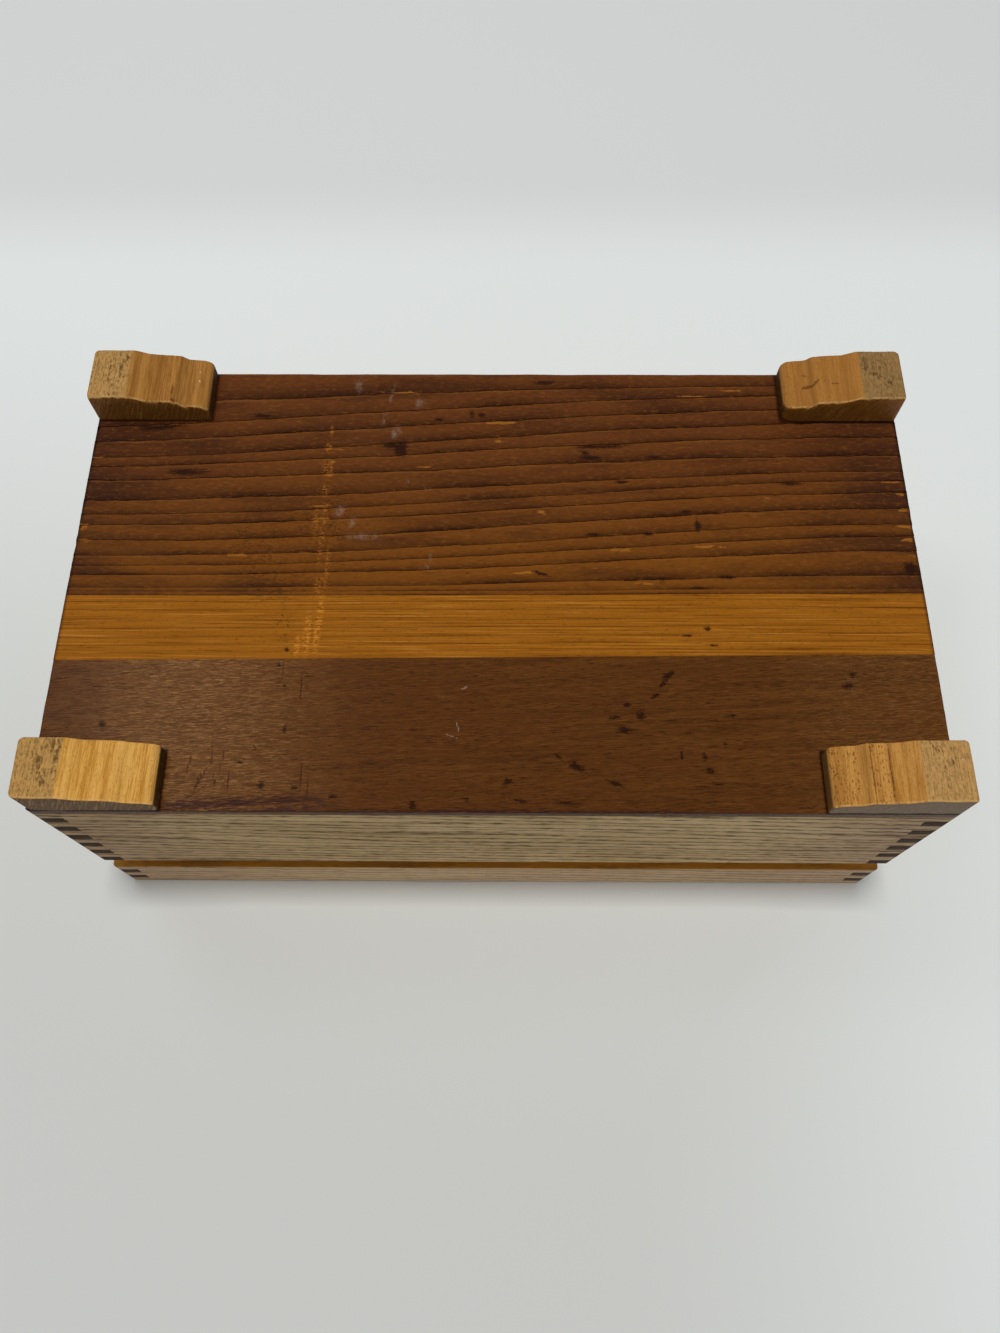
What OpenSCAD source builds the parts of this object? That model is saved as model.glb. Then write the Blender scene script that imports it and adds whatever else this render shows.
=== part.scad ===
// Hinged wooden jewelry box: finger-jointed walls and lid, two-board base, four shaped feet,
// a wooden lining that stands up into the lid, fixed dividers, felt and two brass butt hinges.
// Millimetres. +Z is up, the front faces -Y, and the origin is on the floor under the box's middle.

/* [Box] */
// Outside width, left to right
box_w = 280; // [240:1:320]
// Outside depth, front face to back face
box_d = 162; // [140:1:200]
// Height of the four walls
wall_h = 62.4; // [52:0.2:80]
// Thickness of the four walls
wall_t = 8; // [7:0.5:10]
// Thickness of the base boards
base_t = 4; // [3:0.5:8]
// Width of the front base board at its left end
base_seam_left = 52; // [40:1:70]
// Width of the front base board at its right end
base_seam_right = 49; // [40:1:70]
// Rounding of the upright corners
corner_ease = 1; // [0.5:0.25:2]

/* [Finger joints] */
// Number of fingers up a body corner
body_fingers = 12; // [8:1:16]
// Number of fingers up a lid corner
lid_fingers = 5; // [3:1:7]

/* [Lid] */
// Height of the lid rails
lid_h = 24; // [21:0.5:32]
// Height of the open reveal between body and lid
reveal = 10.4; // [8:0.2:14]
// Rounding of the lid's upper edges and corners
lid_ease = 1.25; // [1:0.25:3.5]
// Thickness of the lid panel boards
panel_t = 6; // [4:0.5:8]
// Depth of the lid panel below the top of the rails
panel_sink = 0.8; // [0.4:0.2:2]
// Width of the pale middle board in the lid panel
panel_mid_w = 24; // [16:1:40]

/* [Feet] */
// Height of a foot
foot_h = 12.5; // [10:0.5:18]
// Length of a foot along the front
foot_len = 40; // [35:0.5:48]
// Thickness of the front feet, front to back
foot_front_d = 19; // [15:0.5:28]
// Thickness of the back feet, front to back
foot_back_d = 20.5; // [15:0.5:28]
// Length of the flat floor pad on the left feet
foot_left_pad = 15; // [9:0.5:16]
// Length of the flat floor pad on the right feet
foot_right_pad = 13.5; // [9:0.5:16]
// Rise of the cove behind the pad
foot_cove_rise = 1.5; // [0.5:0.1:2.5]
// Length of the cove
foot_cove_run = 6; // [4:0.5:8]
// Rise of the straight slope from the pad to the toe
foot_slope_rise = 2.2; // [1:0.1:3]
// Rise of the carved step
foot_step_rise = 1.9; // [1:0.1:2.5]
// Length of the carved step
foot_step_run = 3.5; // [3:0.5:6]
// Distance from the toe's end back to the carved step
foot_step_in = 11; // [9:0.5:13]
// Rise of the rounded toe on the front feet
foot_front_toe = 2.6; // [0.5:0.1:3]
// Rise of the rounded toe on the back feet
foot_back_toe = 2.9; // [0.5:0.1:3]
// Length of the rounded toe
foot_toe_run = 4; // [2:0.5:6]
// Rounding of a foot's upright corners
foot_ease = 1.5; // [1:0.25:4]

/* [Lining] */
// Thickness of the lining strips
liner_t = 4; // [3:0.5:6]
// Play between the body's lining and the lid rails
liner_play = 0.4; // [0.3:0.05:0.8]
// Height of the lining that stands inside the lid rails
liner_lap = 3; // [2:0.5:5]
// Space between the lid's lining and the body's lining when shut
lid_rest = 0.2; // [0.1:0.05:0.4]
// Thickness of the felt
felt_t = 1.5; // [1:0.25:3]
// Play around the felt
felt_play = 0.3; // [0.2:0.05:0.6]
// Thickness of the dividers
divider_t = 4; // [3:0.5:6]
// Height of the dividers above the felt
divider_h = 36; // [20:1:50]
// Clear depth of the long front compartment
front_row_d = 58; // [40:1:70]
// Clear width of the middle back compartment
middle_cell_w = 84; // [60:1:110]

/* [Hinges] */
// Length of a hinge
hinge_len = 36; // [30:1:48]
// Distance from the middle of a hinge to the nearer side of the box
hinge_in = 55; // [40:1:80]
// Distance of the pin's axis behind the back face
hinge_out = 2; // [1.8:0.1:2.2]
// Outside radius of a knuckle
knuckle_r = 2.5; // [2.4:0.1:3]
// Play between neighbouring knuckles
knuckle_play = 0.3; // [0.2:0.05:0.5]
// Radius of the hinge pin
pin_r = 1.2; // [0.9:0.1:1.4]
// Running clearance of the pin in the knuckles
pin_play = 0.05; // [0.02:0.01:0.1]
// Radius of the pin's end buttons
pin_button_r = 2; // [1.7:0.1:2.3]
// Thickness of the pin's end buttons
pin_button_t = 0.8; // [0.5:0.1:1.2]
// Thickness of a hinge leaf
leaf_t = 1.2; // [1:0.1:1.6]
// Distance from a screw to the edges of its leaf
leaf_margin = 5.5; // [4:0.5:7]
// Distance of the screws from the edge of the wood
screw_in = 8; // [6:0.5:10]
// Radius of a screw's shank
screw_r = 1.1; // [0.9:0.1:1.3]
// Radius of a screw's head
screw_head_r = 2.1; // [1.8:0.1:2.5]
// Depth of a screw's countersunk head
screw_head_t = 1; // [0.8:0.05:1]
// Length of a screw in all
screw_len = 6.5; // [4:0.5:6.5]
// Play around a screw
screw_play = 0.05; // [0.02:0.01:0.1]
// Width and depth of the slot in a screw's head
slot_w = 0.5; // [0.3:0.1:0.8]

/* [Hidden] */
$fn = 64;
// Overshoot of cuts and of stock that is trimmed afterwards
slack = 1;
// Straight pieces in a rounded corner and in a foot's outline
arc_steps = 6;
foot_steps = 40;

oak = "#9a7440";
heartwood = "#5f3117";
walnut = "#5a3421";
amber = "#a66a22";
pine = "#c5964a";
brass = "#b9953f";
felt_red = "#5b2228";

body_finger = wall_h / body_fingers;
lid_finger = lid_h / lid_fingers;
z_base = foot_h;
z_wall = z_base + base_t;
z_seam = z_wall + wall_h;
z_rim = z_seam + reveal;
z_top = z_rim + lid_h;
z_panel = z_top - panel_sink - panel_t;
z_axis = z_seam + reveal / 2;
z_felt = z_wall + felt_t;

hinge_reach = hinge_out + knuckle_r;
x_side = box_w / 2;
y_front = -(box_d + hinge_reach) / 2;
y_back = y_front + box_d;
y_mid = y_front + box_d / 2;
y_axis = y_back + hinge_out;

rail_t = wall_t - liner_play;
liner_top = z_rim + liner_lap;
lid_liner_z = liner_top + lid_rest;
// Half sizes inside the walls, inside the lid rails and inside the body's lining
wall_x = x_side - wall_t;
wall_y = box_d / 2 - wall_t;
rail_x = x_side - rail_t;
rail_y = box_d / 2 - rail_t;
room_x = wall_x - liner_t;
room_y = wall_y - liner_t;
divider_y = y_mid - room_y + front_row_d;

foot_step_at = foot_len - foot_step_in;
leaf_h = reveal / 2 + screw_in + leaf_margin;
hinge_x = x_side - hinge_in;
screw_x = hinge_len / 2 - leaf_margin;
z_screw_body = z_seam - screw_in;
z_screw_lid = z_rim + screw_in;
knuckle_len = hinge_len / 3;
knuckle_room = knuckle_r + knuckle_play;

// Points along a round corner, from angle a to a + 90
function corner_arc(x, y, r, a) =
    [for (i = [0 : arc_steps]) [x + r * cos(a + 90 * i / arc_steps), y + r * sin(a + 90 * i / arc_steps)]];

// Smooth step from 0 to 1
function ease(t) = let (u = max(0, min(1, t))) u * u * (3 - 2 * u);

// Height of a foot's lower edge above the floor, at distance s from its outer end and past its pad
function foot_rise(s, pad, toe) =
    foot_cove_rise * ease((s - pad) / foot_cove_run)
    + foot_slope_rise * max(0, (s - pad) / (foot_len - pad))
    + foot_step_rise * ease((s - foot_step_at) / foot_step_run)
    + toe * (1 - sqrt(1 - pow(max(0, min(1, (s - foot_len + foot_toe_run) / foot_toe_run)), 2)));

// Rectangle with four rounded corners, centred on the origin
module rounded_plan(w, d, r) {
    polygon(concat(
        corner_arc(w / 2 - r, d / 2 - r, r, 0),
        corner_arc(r - w / 2, d / 2 - r, r, 90),
        corner_arc(r - w / 2, r - d / 2, r, 180),
        corner_arc(w / 2 - r, r - d / 2, r, 270)
    ));
}

// End view of the lid: square below, rounded at the two upper corners
module eased_end(w, r) {
    polygon(concat(
        [[-w / 2, z_rim - slack], [w / 2, z_rim - slack]],
        corner_arc(w / 2 - r, z_top - r, r, 0),
        corner_arc(r - w / 2, z_top - r, r, 90)
    ));
}

// Upright block with the body's outline, which trims walls and base boards
module body_block(z0, z1) {
    translate([0, y_mid, z0])
        linear_extrude(z1 - z0)
            rounded_plan(box_w, box_d, corner_ease);
}

// Block with the lid's outline and rounded upper edges, which trims the lid rails
module lid_block() {
    intersection() {
        translate([0, y_mid, z_rim])
            linear_extrude(lid_h + slack)
                rounded_plan(box_w, box_d, lid_ease);
        translate([0, y_mid + box_d, 0])
            rotate([90, 0, 0])
                linear_extrude(2 * box_d)
                    eased_end(box_w, lid_ease);
        translate([-box_w, y_mid, 0])
            rotate([90, 0, 90])
                linear_extrude(2 * box_w)
                    eased_end(box_d, lid_ease);
    }
}

// Space that one finger of the meeting wall takes up; end fingers overshoot
module finger_gap(x, y, w, d, z0, i, count, pitch) {
    below = i == 0 ? 2 * slack : 0;
    above = i == count - 1 ? 2 * slack : 0;
    translate([x, y, z0 + i * pitch - below])
        cube([w, d, pitch + below + above]);
}

// Wall along X, from y to y + t, that keeps its even fingers at both ends
module long_wall(y, t, z0, count, pitch) {
    difference() {
        translate([-x_side - slack, y, z0 - slack])
            cube([box_w + 2 * slack, t, count * pitch + 2 * slack]);
        for (i = [1 : 2 : count - 1], x = [-x_side - 2 * slack, x_side - t + slack])
            finger_gap(x, y - slack, t + slack, t + 2 * slack, z0, i, count, pitch);
    }
}

// Wall along Y, from x to x + t, that keeps its odd fingers at both ends
module short_wall(x, t, z0, count, pitch) {
    difference() {
        translate([x, y_front - slack, z0 - slack])
            cube([t, box_d + 2 * slack, count * pitch + 2 * slack]);
        for (i = [0 : 2 : count - 1], y = [y_front - 2 * slack, y_back - t + slack])
            finger_gap(x - slack, y, t + 2 * slack, t + slack, z0, i, count, pitch);
    }
}

// Front or back wall of the body; the stock overshoots by slack on its outer face
module body_long(y) {
    intersection() {
        long_wall(y, wall_t + slack, z_wall, body_fingers, body_finger);
        body_block(z_wall, z_seam);
    }
}

module body_short(x) {
    intersection() {
        short_wall(x, wall_t + slack, z_wall, body_fingers, body_finger);
        body_block(z_wall, z_seam);
    }
}

module lid_long(y) {
    intersection() {
        long_wall(y, rail_t + slack, z_rim, lid_fingers, lid_finger);
        lid_block();
    }
}

module lid_short(x) {
    intersection() {
        short_wall(x, rail_t + slack, z_rim, lid_fingers, lid_finger);
        lid_block();
    }
}

// Countersunk wood screw driven along +Z from its head, grown by play
module screw_form(play) {
    cylinder(h = screw_head_t, r1 = screw_head_r + play, r2 = screw_r + play);
    cylinder(h = screw_len + play, r = screw_r + play);
}

// Puts its children at the four screw places on the back, head outwards
module at_screws(z) {
    for (hinge = [-hinge_x, hinge_x], x = [-screw_x, screw_x])
        translate([hinge + x, y_back + leaf_t, z])
            rotate([90, 0, 0])
                children();
}

module screws(z) {
    at_screws(z)
        difference() {
            screw_form(0);
            translate([-2 * screw_head_r, -slot_w / 2, -slack])
                cube([4 * screw_head_r, slot_w, slot_w + slack]);
        }
}

// One barrel segment of a hinge, number k of three
module knuckle(x, k) {
    translate([x - hinge_len / 2 + k * knuckle_len + knuckle_play / 2, y_axis, z_axis])
        rotate([0, 90, 0])
            cylinder(h = knuckle_len - knuckle_play, r = knuckle_r);
}

// Hinge leaf on the back face; up is 1 on the lid and -1 on the body
module hinge_leaf(x, z_screw, up, own, other) {
    difference() {
        union() {
            translate([x - hinge_len / 2, y_back, up > 0 ? z_axis : z_axis - leaf_h])
                cube([hinge_len, leaf_t, leaf_h]);
            for (k = own)
                knuckle(x, k);
        }
        for (k = other)
            translate([x - hinge_len / 2 + k * knuckle_len - knuckle_play / 2,
                       y_back - slack, z_axis - knuckle_room])
                cube([knuckle_len + knuckle_play, leaf_t + 2 * slack, 2 * knuckle_room]);
        translate([x - hinge_len, y_axis, z_axis])
            rotate([0, 90, 0])
                cylinder(h = 2 * hinge_len, r = pin_r + pin_play);
        at_screws(z_screw) {
            screw_form(screw_play);
        }
    }
}

// Pin through all three knuckles with a button on each end
module hinge_pin(x) {
    translate([x - hinge_len / 2 - pin_button_t, y_axis, z_axis])
        rotate([0, 90, 0]) {
            cylinder(h = hinge_len + 2 * pin_button_t, r = pin_r);
            cylinder(h = pin_button_t, r = pin_button_r);
            translate([0, 0, hinge_len + pin_button_t])
                cylinder(h = pin_button_t, r = pin_button_r);
        }
}

// Foot at a left corner, from y to y + d: its outline along X, trimmed to a rounded plan
module foot(y, d, pad, toe) {
    outline = concat(
        [[-slack, foot_h], [-slack, 0]],
        [for (i = [0 : foot_steps])
            let (s = pad + (foot_len - pad) * i / foot_steps)
            [s, foot_rise(s, pad, toe)]],
        [[foot_len + slack, foot_rise(foot_len, pad, toe)], [foot_len + slack, foot_h]]
    );
    color(pine)
        intersection() {
            translate([-x_side, y + d + slack, 0])
                rotate([90, 0, 0])
                    linear_extrude(d + 2 * slack)
                        polygon(outline);
            translate([foot_len / 2 - x_side, y + d / 2, -slack])
                linear_extrude(foot_h + 2 * slack)
                    rounded_plan(foot_len, d, foot_ease);
        }
}

// Front base board; its back edge, the glue line, runs slightly askew
module base_front_plan() {
    polygon([
        [-x_side - slack, y_front - slack],
        [x_side + slack, y_front - slack],
        [x_side + slack, y_front + base_seam_right],
        [-x_side - slack, y_front + base_seam_left]
    ]);
}

// Upright board from corner a to corner b
module board(a, b) {
    translate(a)
        cube(b - a);
}

// Strips along X and along Y that line a frame of half sizes hx and hy, from z0 to z1
module lining_long(hx, hy, side, z0, z1) {
    y = side < 0 ? y_mid - hy : y_mid + hy - liner_t;
    board([-hx, y, z0], [hx, y + liner_t, z1]);
}

module lining_short(hx, hy, side, z0, z1) {
    x = side < 0 ? -hx : hx - liner_t;
    board([x, y_mid - hy + liner_t, z0], [x + liner_t, y_mid + hy - liner_t, z1]);
}

module felt_sheet(hx, hy, z) {
    color(felt_red)
        board([felt_play - hx, y_mid - hy + felt_play, z],
              [hx - felt_play, y_mid + hy - felt_play, z + felt_t]);
}

module front_wall() {
    color(oak)
        body_long(y_front - slack);
}

module back_wall() {
    color(oak)
        difference() {
            body_long(y_back - wall_t);
            at_screws(z_screw_body) {
                screw_form(screw_play);
            }
        }
}

module left_wall() {
    color(oak)
        body_short(-x_side - slack);
}

module right_wall() {
    color(oak)
        body_short(x_side - wall_t);
}

module base_board_front() {
    color(walnut)
        intersection() {
            body_block(z_base, z_wall);
            translate([0, 0, z_base - slack])
                linear_extrude(base_t + 2 * slack)
                    base_front_plan();
        }
}

module base_board_back() {
    color(heartwood)
        difference() {
            body_block(z_base, z_wall);
            translate([0, 0, z_base - slack])
                linear_extrude(base_t + 2 * slack)
                    base_front_plan();
        }
}

module foot_front_left() {
    foot(y_front, foot_front_d, foot_left_pad, foot_front_toe);
}

module foot_front_right() {
    mirror([1, 0, 0])
        foot(y_front, foot_front_d, foot_right_pad, foot_front_toe);
}

module foot_back_left() {
    foot(y_back - foot_back_d, foot_back_d, foot_left_pad, foot_back_toe);
}

module foot_back_right() {
    mirror([1, 0, 0])
        foot(y_back - foot_back_d, foot_back_d, foot_right_pad, foot_back_toe);
}

module liner_front() {
    color(amber)
        lining_long(wall_x, wall_y, -1, z_wall, liner_top);
}

module liner_back() {
    color(amber)
        lining_long(wall_x, wall_y, 1, z_wall, liner_top);
}

module liner_left() {
    color(amber)
        lining_short(wall_x, wall_y, -1, z_wall, liner_top);
}

module liner_right() {
    color(amber)
        lining_short(wall_x, wall_y, 1, z_wall, liner_top);
}

module divider_long() {
    color(amber)
        board([-room_x, divider_y, z_felt], [room_x, divider_y + divider_t, z_felt + divider_h]);
}

// Divider across the back row, from x to x + divider_t
module cross_divider(x) {
    color(amber)
        board([x, divider_y + divider_t, z_felt], [x + divider_t, y_mid + room_y, z_felt + divider_h]);
}

module divider_left() {
    cross_divider(-middle_cell_w / 2 - divider_t);
}

module divider_right() {
    cross_divider(middle_cell_w / 2);
}

module floor_felt() {
    felt_sheet(room_x, room_y, z_wall);
}

module hinge_leaf_body_left() {
    color(brass)
        hinge_leaf(-hinge_x, z_screw_body, -1, [0, 2], [1]);
}

module hinge_leaf_body_right() {
    color(brass)
        hinge_leaf(hinge_x, z_screw_body, -1, [0, 2], [1]);
}

module hinge_pin_left() {
    color(brass)
        hinge_pin(-hinge_x);
}

module hinge_pin_right() {
    color(brass)
        hinge_pin(hinge_x);
}

module hinge_screws_body() {
    color(brass)
        screws(z_screw_body);
}

module lid_rail_front() {
    color(oak)
        lid_long(y_front - slack);
}

module lid_rail_back() {
    color(oak)
        difference() {
            lid_long(y_back - rail_t);
            at_screws(z_screw_lid) {
                screw_form(screw_play);
            }
        }
}

module lid_rail_left() {
    color(oak)
        lid_short(-x_side - slack);
}

module lid_rail_right() {
    color(oak)
        lid_short(x_side - rail_t);
}

// Lid panel board from y0 to y1, between the side rails
module panel_board(y0, y1) {
    board([-rail_x, y0, z_panel], [rail_x, y1, z_panel + panel_t]);
}

module lid_board_front() {
    color(walnut)
        panel_board(y_mid - rail_y, y_mid - panel_mid_w / 2);
}

module lid_board_middle() {
    color(amber)
        panel_board(y_mid - panel_mid_w / 2, y_mid + panel_mid_w / 2);
}

module lid_board_back() {
    color(walnut)
        panel_board(y_mid + panel_mid_w / 2, y_mid + rail_y);
}

module lid_liner_front() {
    color(amber)
        lining_long(rail_x, rail_y, -1, lid_liner_z, z_panel);
}

module lid_liner_back() {
    color(amber)
        lining_long(rail_x, rail_y, 1, lid_liner_z, z_panel);
}

module lid_liner_left() {
    color(amber)
        lining_short(rail_x, rail_y, -1, lid_liner_z, z_panel);
}

module lid_liner_right() {
    color(amber)
        lining_short(rail_x, rail_y, 1, lid_liner_z, z_panel);
}

module lid_felt() {
    felt_sheet(rail_x - liner_t, rail_y - liner_t, z_panel - felt_t);
}

module hinge_leaf_lid_left() {
    color(brass)
        hinge_leaf(-hinge_x, z_screw_lid, 1, [1], [0, 2]);
}

module hinge_leaf_lid_right() {
    color(brass)
        hinge_leaf(hinge_x, z_screw_lid, 1, [1], [0, 2]);
}

module hinge_screws_lid() {
    color(brass)
        screws(z_screw_lid);
}

front_wall();
back_wall();
left_wall();
right_wall();
base_board_front();
base_board_back();
foot_front_left();
foot_front_right();
foot_back_left();
foot_back_right();
liner_front();
liner_back();
liner_left();
liner_right();
divider_long();
divider_left();
divider_right();
floor_felt();
hinge_leaf_body_left();
hinge_leaf_body_right();
hinge_pin_left();
hinge_pin_right();
hinge_screws_body();
lid_rail_front();
lid_rail_back();
lid_rail_left();
lid_rail_right();
lid_board_front();
lid_board_middle();
lid_board_back();
lid_liner_front();
lid_liner_back();
lid_liner_left();
lid_liner_right();
lid_felt();
hinge_leaf_lid_left();
hinge_leaf_lid_right();
hinge_screws_lid();
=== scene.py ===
# %% [markdown]
# # A wooden jewelry box, turned over to show its underside
# The packed model already holds every board, foot and hinge at its real size and in its place. This
# lesson dresses it: ridges and stains on the base, saw marks and grime on the feet, pores in the oak.
# The box stands upright in the model. The camera looks up at it, as if it lay on its lid.

# %% Load the frame
import math
from functools import partialmethod
import bmesh
import bpy
import numpy as np
from mathutils import Matrix, Vector


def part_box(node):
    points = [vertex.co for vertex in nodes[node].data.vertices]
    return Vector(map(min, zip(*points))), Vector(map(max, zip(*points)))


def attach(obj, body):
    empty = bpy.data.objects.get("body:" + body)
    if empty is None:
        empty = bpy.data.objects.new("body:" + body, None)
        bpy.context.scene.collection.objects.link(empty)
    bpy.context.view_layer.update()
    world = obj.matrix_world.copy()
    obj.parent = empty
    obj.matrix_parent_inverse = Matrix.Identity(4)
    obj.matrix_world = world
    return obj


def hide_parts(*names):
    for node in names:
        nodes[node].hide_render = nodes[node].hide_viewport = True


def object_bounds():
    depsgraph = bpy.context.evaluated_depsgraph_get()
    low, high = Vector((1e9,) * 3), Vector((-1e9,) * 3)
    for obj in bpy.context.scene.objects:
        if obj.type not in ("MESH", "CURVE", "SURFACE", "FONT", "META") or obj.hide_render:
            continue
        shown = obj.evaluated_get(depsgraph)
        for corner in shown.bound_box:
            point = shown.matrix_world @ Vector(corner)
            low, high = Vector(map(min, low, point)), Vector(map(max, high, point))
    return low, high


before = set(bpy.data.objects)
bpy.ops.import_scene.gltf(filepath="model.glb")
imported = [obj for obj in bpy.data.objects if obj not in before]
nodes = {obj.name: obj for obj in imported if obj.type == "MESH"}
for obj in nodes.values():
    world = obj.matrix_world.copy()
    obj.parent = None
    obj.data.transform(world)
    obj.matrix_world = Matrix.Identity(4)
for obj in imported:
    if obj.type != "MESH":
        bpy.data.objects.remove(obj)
cad_low, cad_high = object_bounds()
MM = 0.001


def size_in_mm(low, high):
    """Width, depth and height between two corners, to a tenth of a millimetre."""
    return [round((b - a) / MM, 1) for a, b in zip(low, high)]


print("CAD box, mm:", size_in_mm(cad_low, cad_high))

# %% [markdown]
# ## The camera
# A picture fixes its camera by the lens and by six numbers: three for the place and three for the
# turn. They were found by fitting the box's corners. The place counts from the middle of the base's
# front edge, so it follows the model. The fitted turn is that of a camera above a box on its lid,
# so both are turned half round the Y axis to look at the upright box from below.

# %% Work out where the camera looks
PITCH, YAW, ROLL = np.radians((66.705, -0.809, 0.55))
CAMERA_FROM_EDGE = np.array((3.79, -83.07, 302.8)) * MM
TURN_OVER = np.diag((-1.0, 1.0, -1.0))

base_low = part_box("base_board_front")[0]
FRONT_Y = base_low.y
BASE_Z = base_low.z


def fitted_axes(pitch, yaw, roll):
    """Right, up and back of a camera that looks along yaw, tips down by pitch and rolls about its view."""
    flat = math.cos(pitch)
    forward = np.array((math.sin(yaw) * flat, math.cos(yaw) * flat, -math.sin(pitch)))
    level = np.array((math.cos(yaw), -math.sin(yaw), 0.0))
    down = np.cross(forward, level)
    right = level * math.cos(roll) + down * math.sin(roll)
    up = level * math.sin(roll) - down * math.cos(roll)
    return np.stack([right, up, -forward])


pose = np.eye(4)
pose[:3, :3] = (fitted_axes(PITCH, YAW, ROLL) @ TURN_OVER).T
pose[:3, 3] = np.array((0, FRONT_Y, BASE_Z)) + TURN_OVER @ CAMERA_FROM_EDGE
print("camera at, mm:", (pose[:3, 3] / MM).round(1))

# %% Place the camera
IMAGE_W, IMAGE_H = 1000, 1333
FOCAL_PX = 1043
SENSOR_MM = 36


def in_scene(name, data):
    """A new object with that name and data, linked to the scene."""
    made = bpy.data.objects.new(name, data)
    bpy.context.scene.collection.objects.link(made)
    return made


camera_data = bpy.data.cameras.new("camera")
camera_data.sensor_width = SENSOR_MM
camera_data.lens = SENSOR_MM * FOCAL_PX / max(IMAGE_W, IMAGE_H)
camera = in_scene("camera", camera_data)
camera.matrix_world = Matrix(pose.tolist())
bpy.context.scene.camera = camera
print("lens, mm:", round(camera_data.lens, 2))

# %% [markdown]
# ## Colours and node helpers
# A finish here is one Principled shader fed by procedural nodes. Typing each node and link out would
# hide the idea of a finish behind plumbing, so two small classes add a node in one line: one for any
# tree of nodes, and one for a material. Patterns count in grains: so many millimetres along the fibre
# and far fewer across it.


# %% Write colours as they look on screen
def srgb(red, green, blue):
    """Linear colour of an 8-bit screen colour: c / 12.92 when dark, else ((c + 0.055) / 1.055) ** 2.4."""
    c = np.array((red, green, blue)) / 255
    linear = np.where(c <= 0.04045, c / 12.92, ((c + 0.055) / 1.055) ** 2.4)
    return (*linear.tolist(), 1.0)


print("half grey on screen is", round(srgb(128, 128, 128)[0], 3), "in linear light")


# %% Add nodes and link them
class Wiring:
    """Short ways to add nodes to one tree and to link them."""

    def __init__(self, tree):
        self.tree = tree

    def feed(self, socket, value):
        """Links another node's output to a socket, or sets the socket's own value."""
        if isinstance(value, bpy.types.NodeSocket):
            self.tree.links.new(value, socket)
        else:
            socket.default_value = value

    def node(self, kind, inputs=(), **settings):
        """A new node. Its settings come first, because some of them change which inputs it has."""
        made = self.tree.nodes.new("ShaderNode" + kind)
        for key, value in settings.items():
            setattr(made, key, value)
        for key, value in dict(inputs).items():
            self.feed(made.inputs[key], value)
        return made

    def calc(self, operation, first, second=0.0):
        """One sum on one or two numbers."""
        return self.node("Math", {0: first, 1: second}, operation=operation).outputs[0]

    plus = partialmethod(calc, "ADD")
    less = partialmethod(calc, "SUBTRACT")
    times = partialmethod(calc, "MULTIPLY")
    most = partialmethod(calc, "MAXIMUM")
    abs = partialmethod(calc, "ABSOLUTE")

    def axis(self, vector, name):
        """One of a vector's three numbers."""
        return self.node("SeparateXYZ", {0: vector}).outputs[name]

    def step(self, value, low, high):
        """Smooth step of a value from 0 at low to 1 at high."""
        inputs = {"Value": value, "From Min": low, "From Max": high}
        return self.node("MapRange", inputs, interpolation_type="SMOOTHSTEP").outputs[0]

    def mix(self, share, first, second):
        """The first colour where share is 0, the second where it is 1."""
        return self.node("Mix", {0: share, 6: first, 7: second}, data_type="RGBA").outputs[2]


sums = [name for name, made in vars(Wiring).items() if isinstance(made, partialmethod)]
print("sums in one word:", ", ".join(sums))


# %% Build a finish from patterns
class Finish(Wiring):
    """One material: a Principled shader and the patterns that feed it."""

    def __init__(self, name, **constants):
        self.material = bpy.data.materials.new(name)
        self.material.use_nodes = True
        super().__init__(self.material.node_tree)
        self.shader = self.tree.nodes["Principled BSDF"]
        coordinates = self.node("TexCoord")
        self.place = coordinates.outputs["Object"]
        self.normal = coordinates.outputs["Normal"]
        self.paint(**constants)

    def paint(self, **sockets):
        """Feeds the shader's sockets; Base_Color stands for Base Color."""
        for key, value in sockets.items():
            self.feed(self.shader.inputs[key.replace("_", " ")], value)

    def at(self, axis):
        """Where a point lies along an axis, in metres."""
        return self.axis(self.place, axis)

    def facing(self, axis):
        """How far the surface faces along an axis, from -1 to 1."""
        return self.axis(self.normal, axis)

    def grains(self, size, turn=(0, 0, 0)):
        """Object coordinates, turned by degrees and counted in grains of that size in mm."""
        inputs = {"Vector": self.place, "Rotation": np.radians(turn).tolist()}
        inputs["Scale"] = (np.array(size) * MM).tolist()
        return self.node("Mapping", inputs, vector_type="TEXTURE").outputs[0]

    def noise(self, size, detail, roughness, turn=(0, 0, 0), bend=0.0):
        """Noise from 0 to 1 whose lumps are about one grain large."""
        inputs = {"Vector": self.grains(size, turn), "Scale": 1.0, "Distortion": bend}
        inputs.update({"Detail": detail, "Roughness": roughness})
        return self.node("TexNoise", inputs).outputs[0]

    def sway(self, noise, amount):
        """A noise made to swing both ways about 0, times an amount."""
        return self.times(self.less(noise, 0.5), amount)

    def shade(self, colour, share):
        """A colour times a number."""
        grey = self.node("CombineColor", {0: share, 1: share, 2: share}).outputs[0]
        inputs = {0: 1.0, 6: colour, 7: grey}
        return self.node("Mix", inputs, data_type="RGBA", blend_type="MULTIPLY").outputs[2]

    def touch(self, colour, share, amount, paint):
        """Lays an 8-bit paint over a colour, as much of it as share times amount."""
        return self.mix(self.times(share, amount), colour, srgb(*paint))

    def field(self, name):
        """A number that the mesh carries at each of its points."""
        return self.node("Attribute", attribute_name=name).outputs["Fac"]

    def bump(self, height, depth, strength):
        """Normals of a relief in which a height of 1 stands for depth mm."""
        inputs = {"Height": height, "Distance": depth * MM, "Strength": strength}
        return self.node("Bump", inputs).outputs[0]


def along(axis, length, width):
    """Size of a grain that is length mm long on one axis and width mm on the others."""
    return [length if name == axis else width for name in "XYZ"]


print("a fibre along X, mm:", along("X", 8, 0.26))

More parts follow.
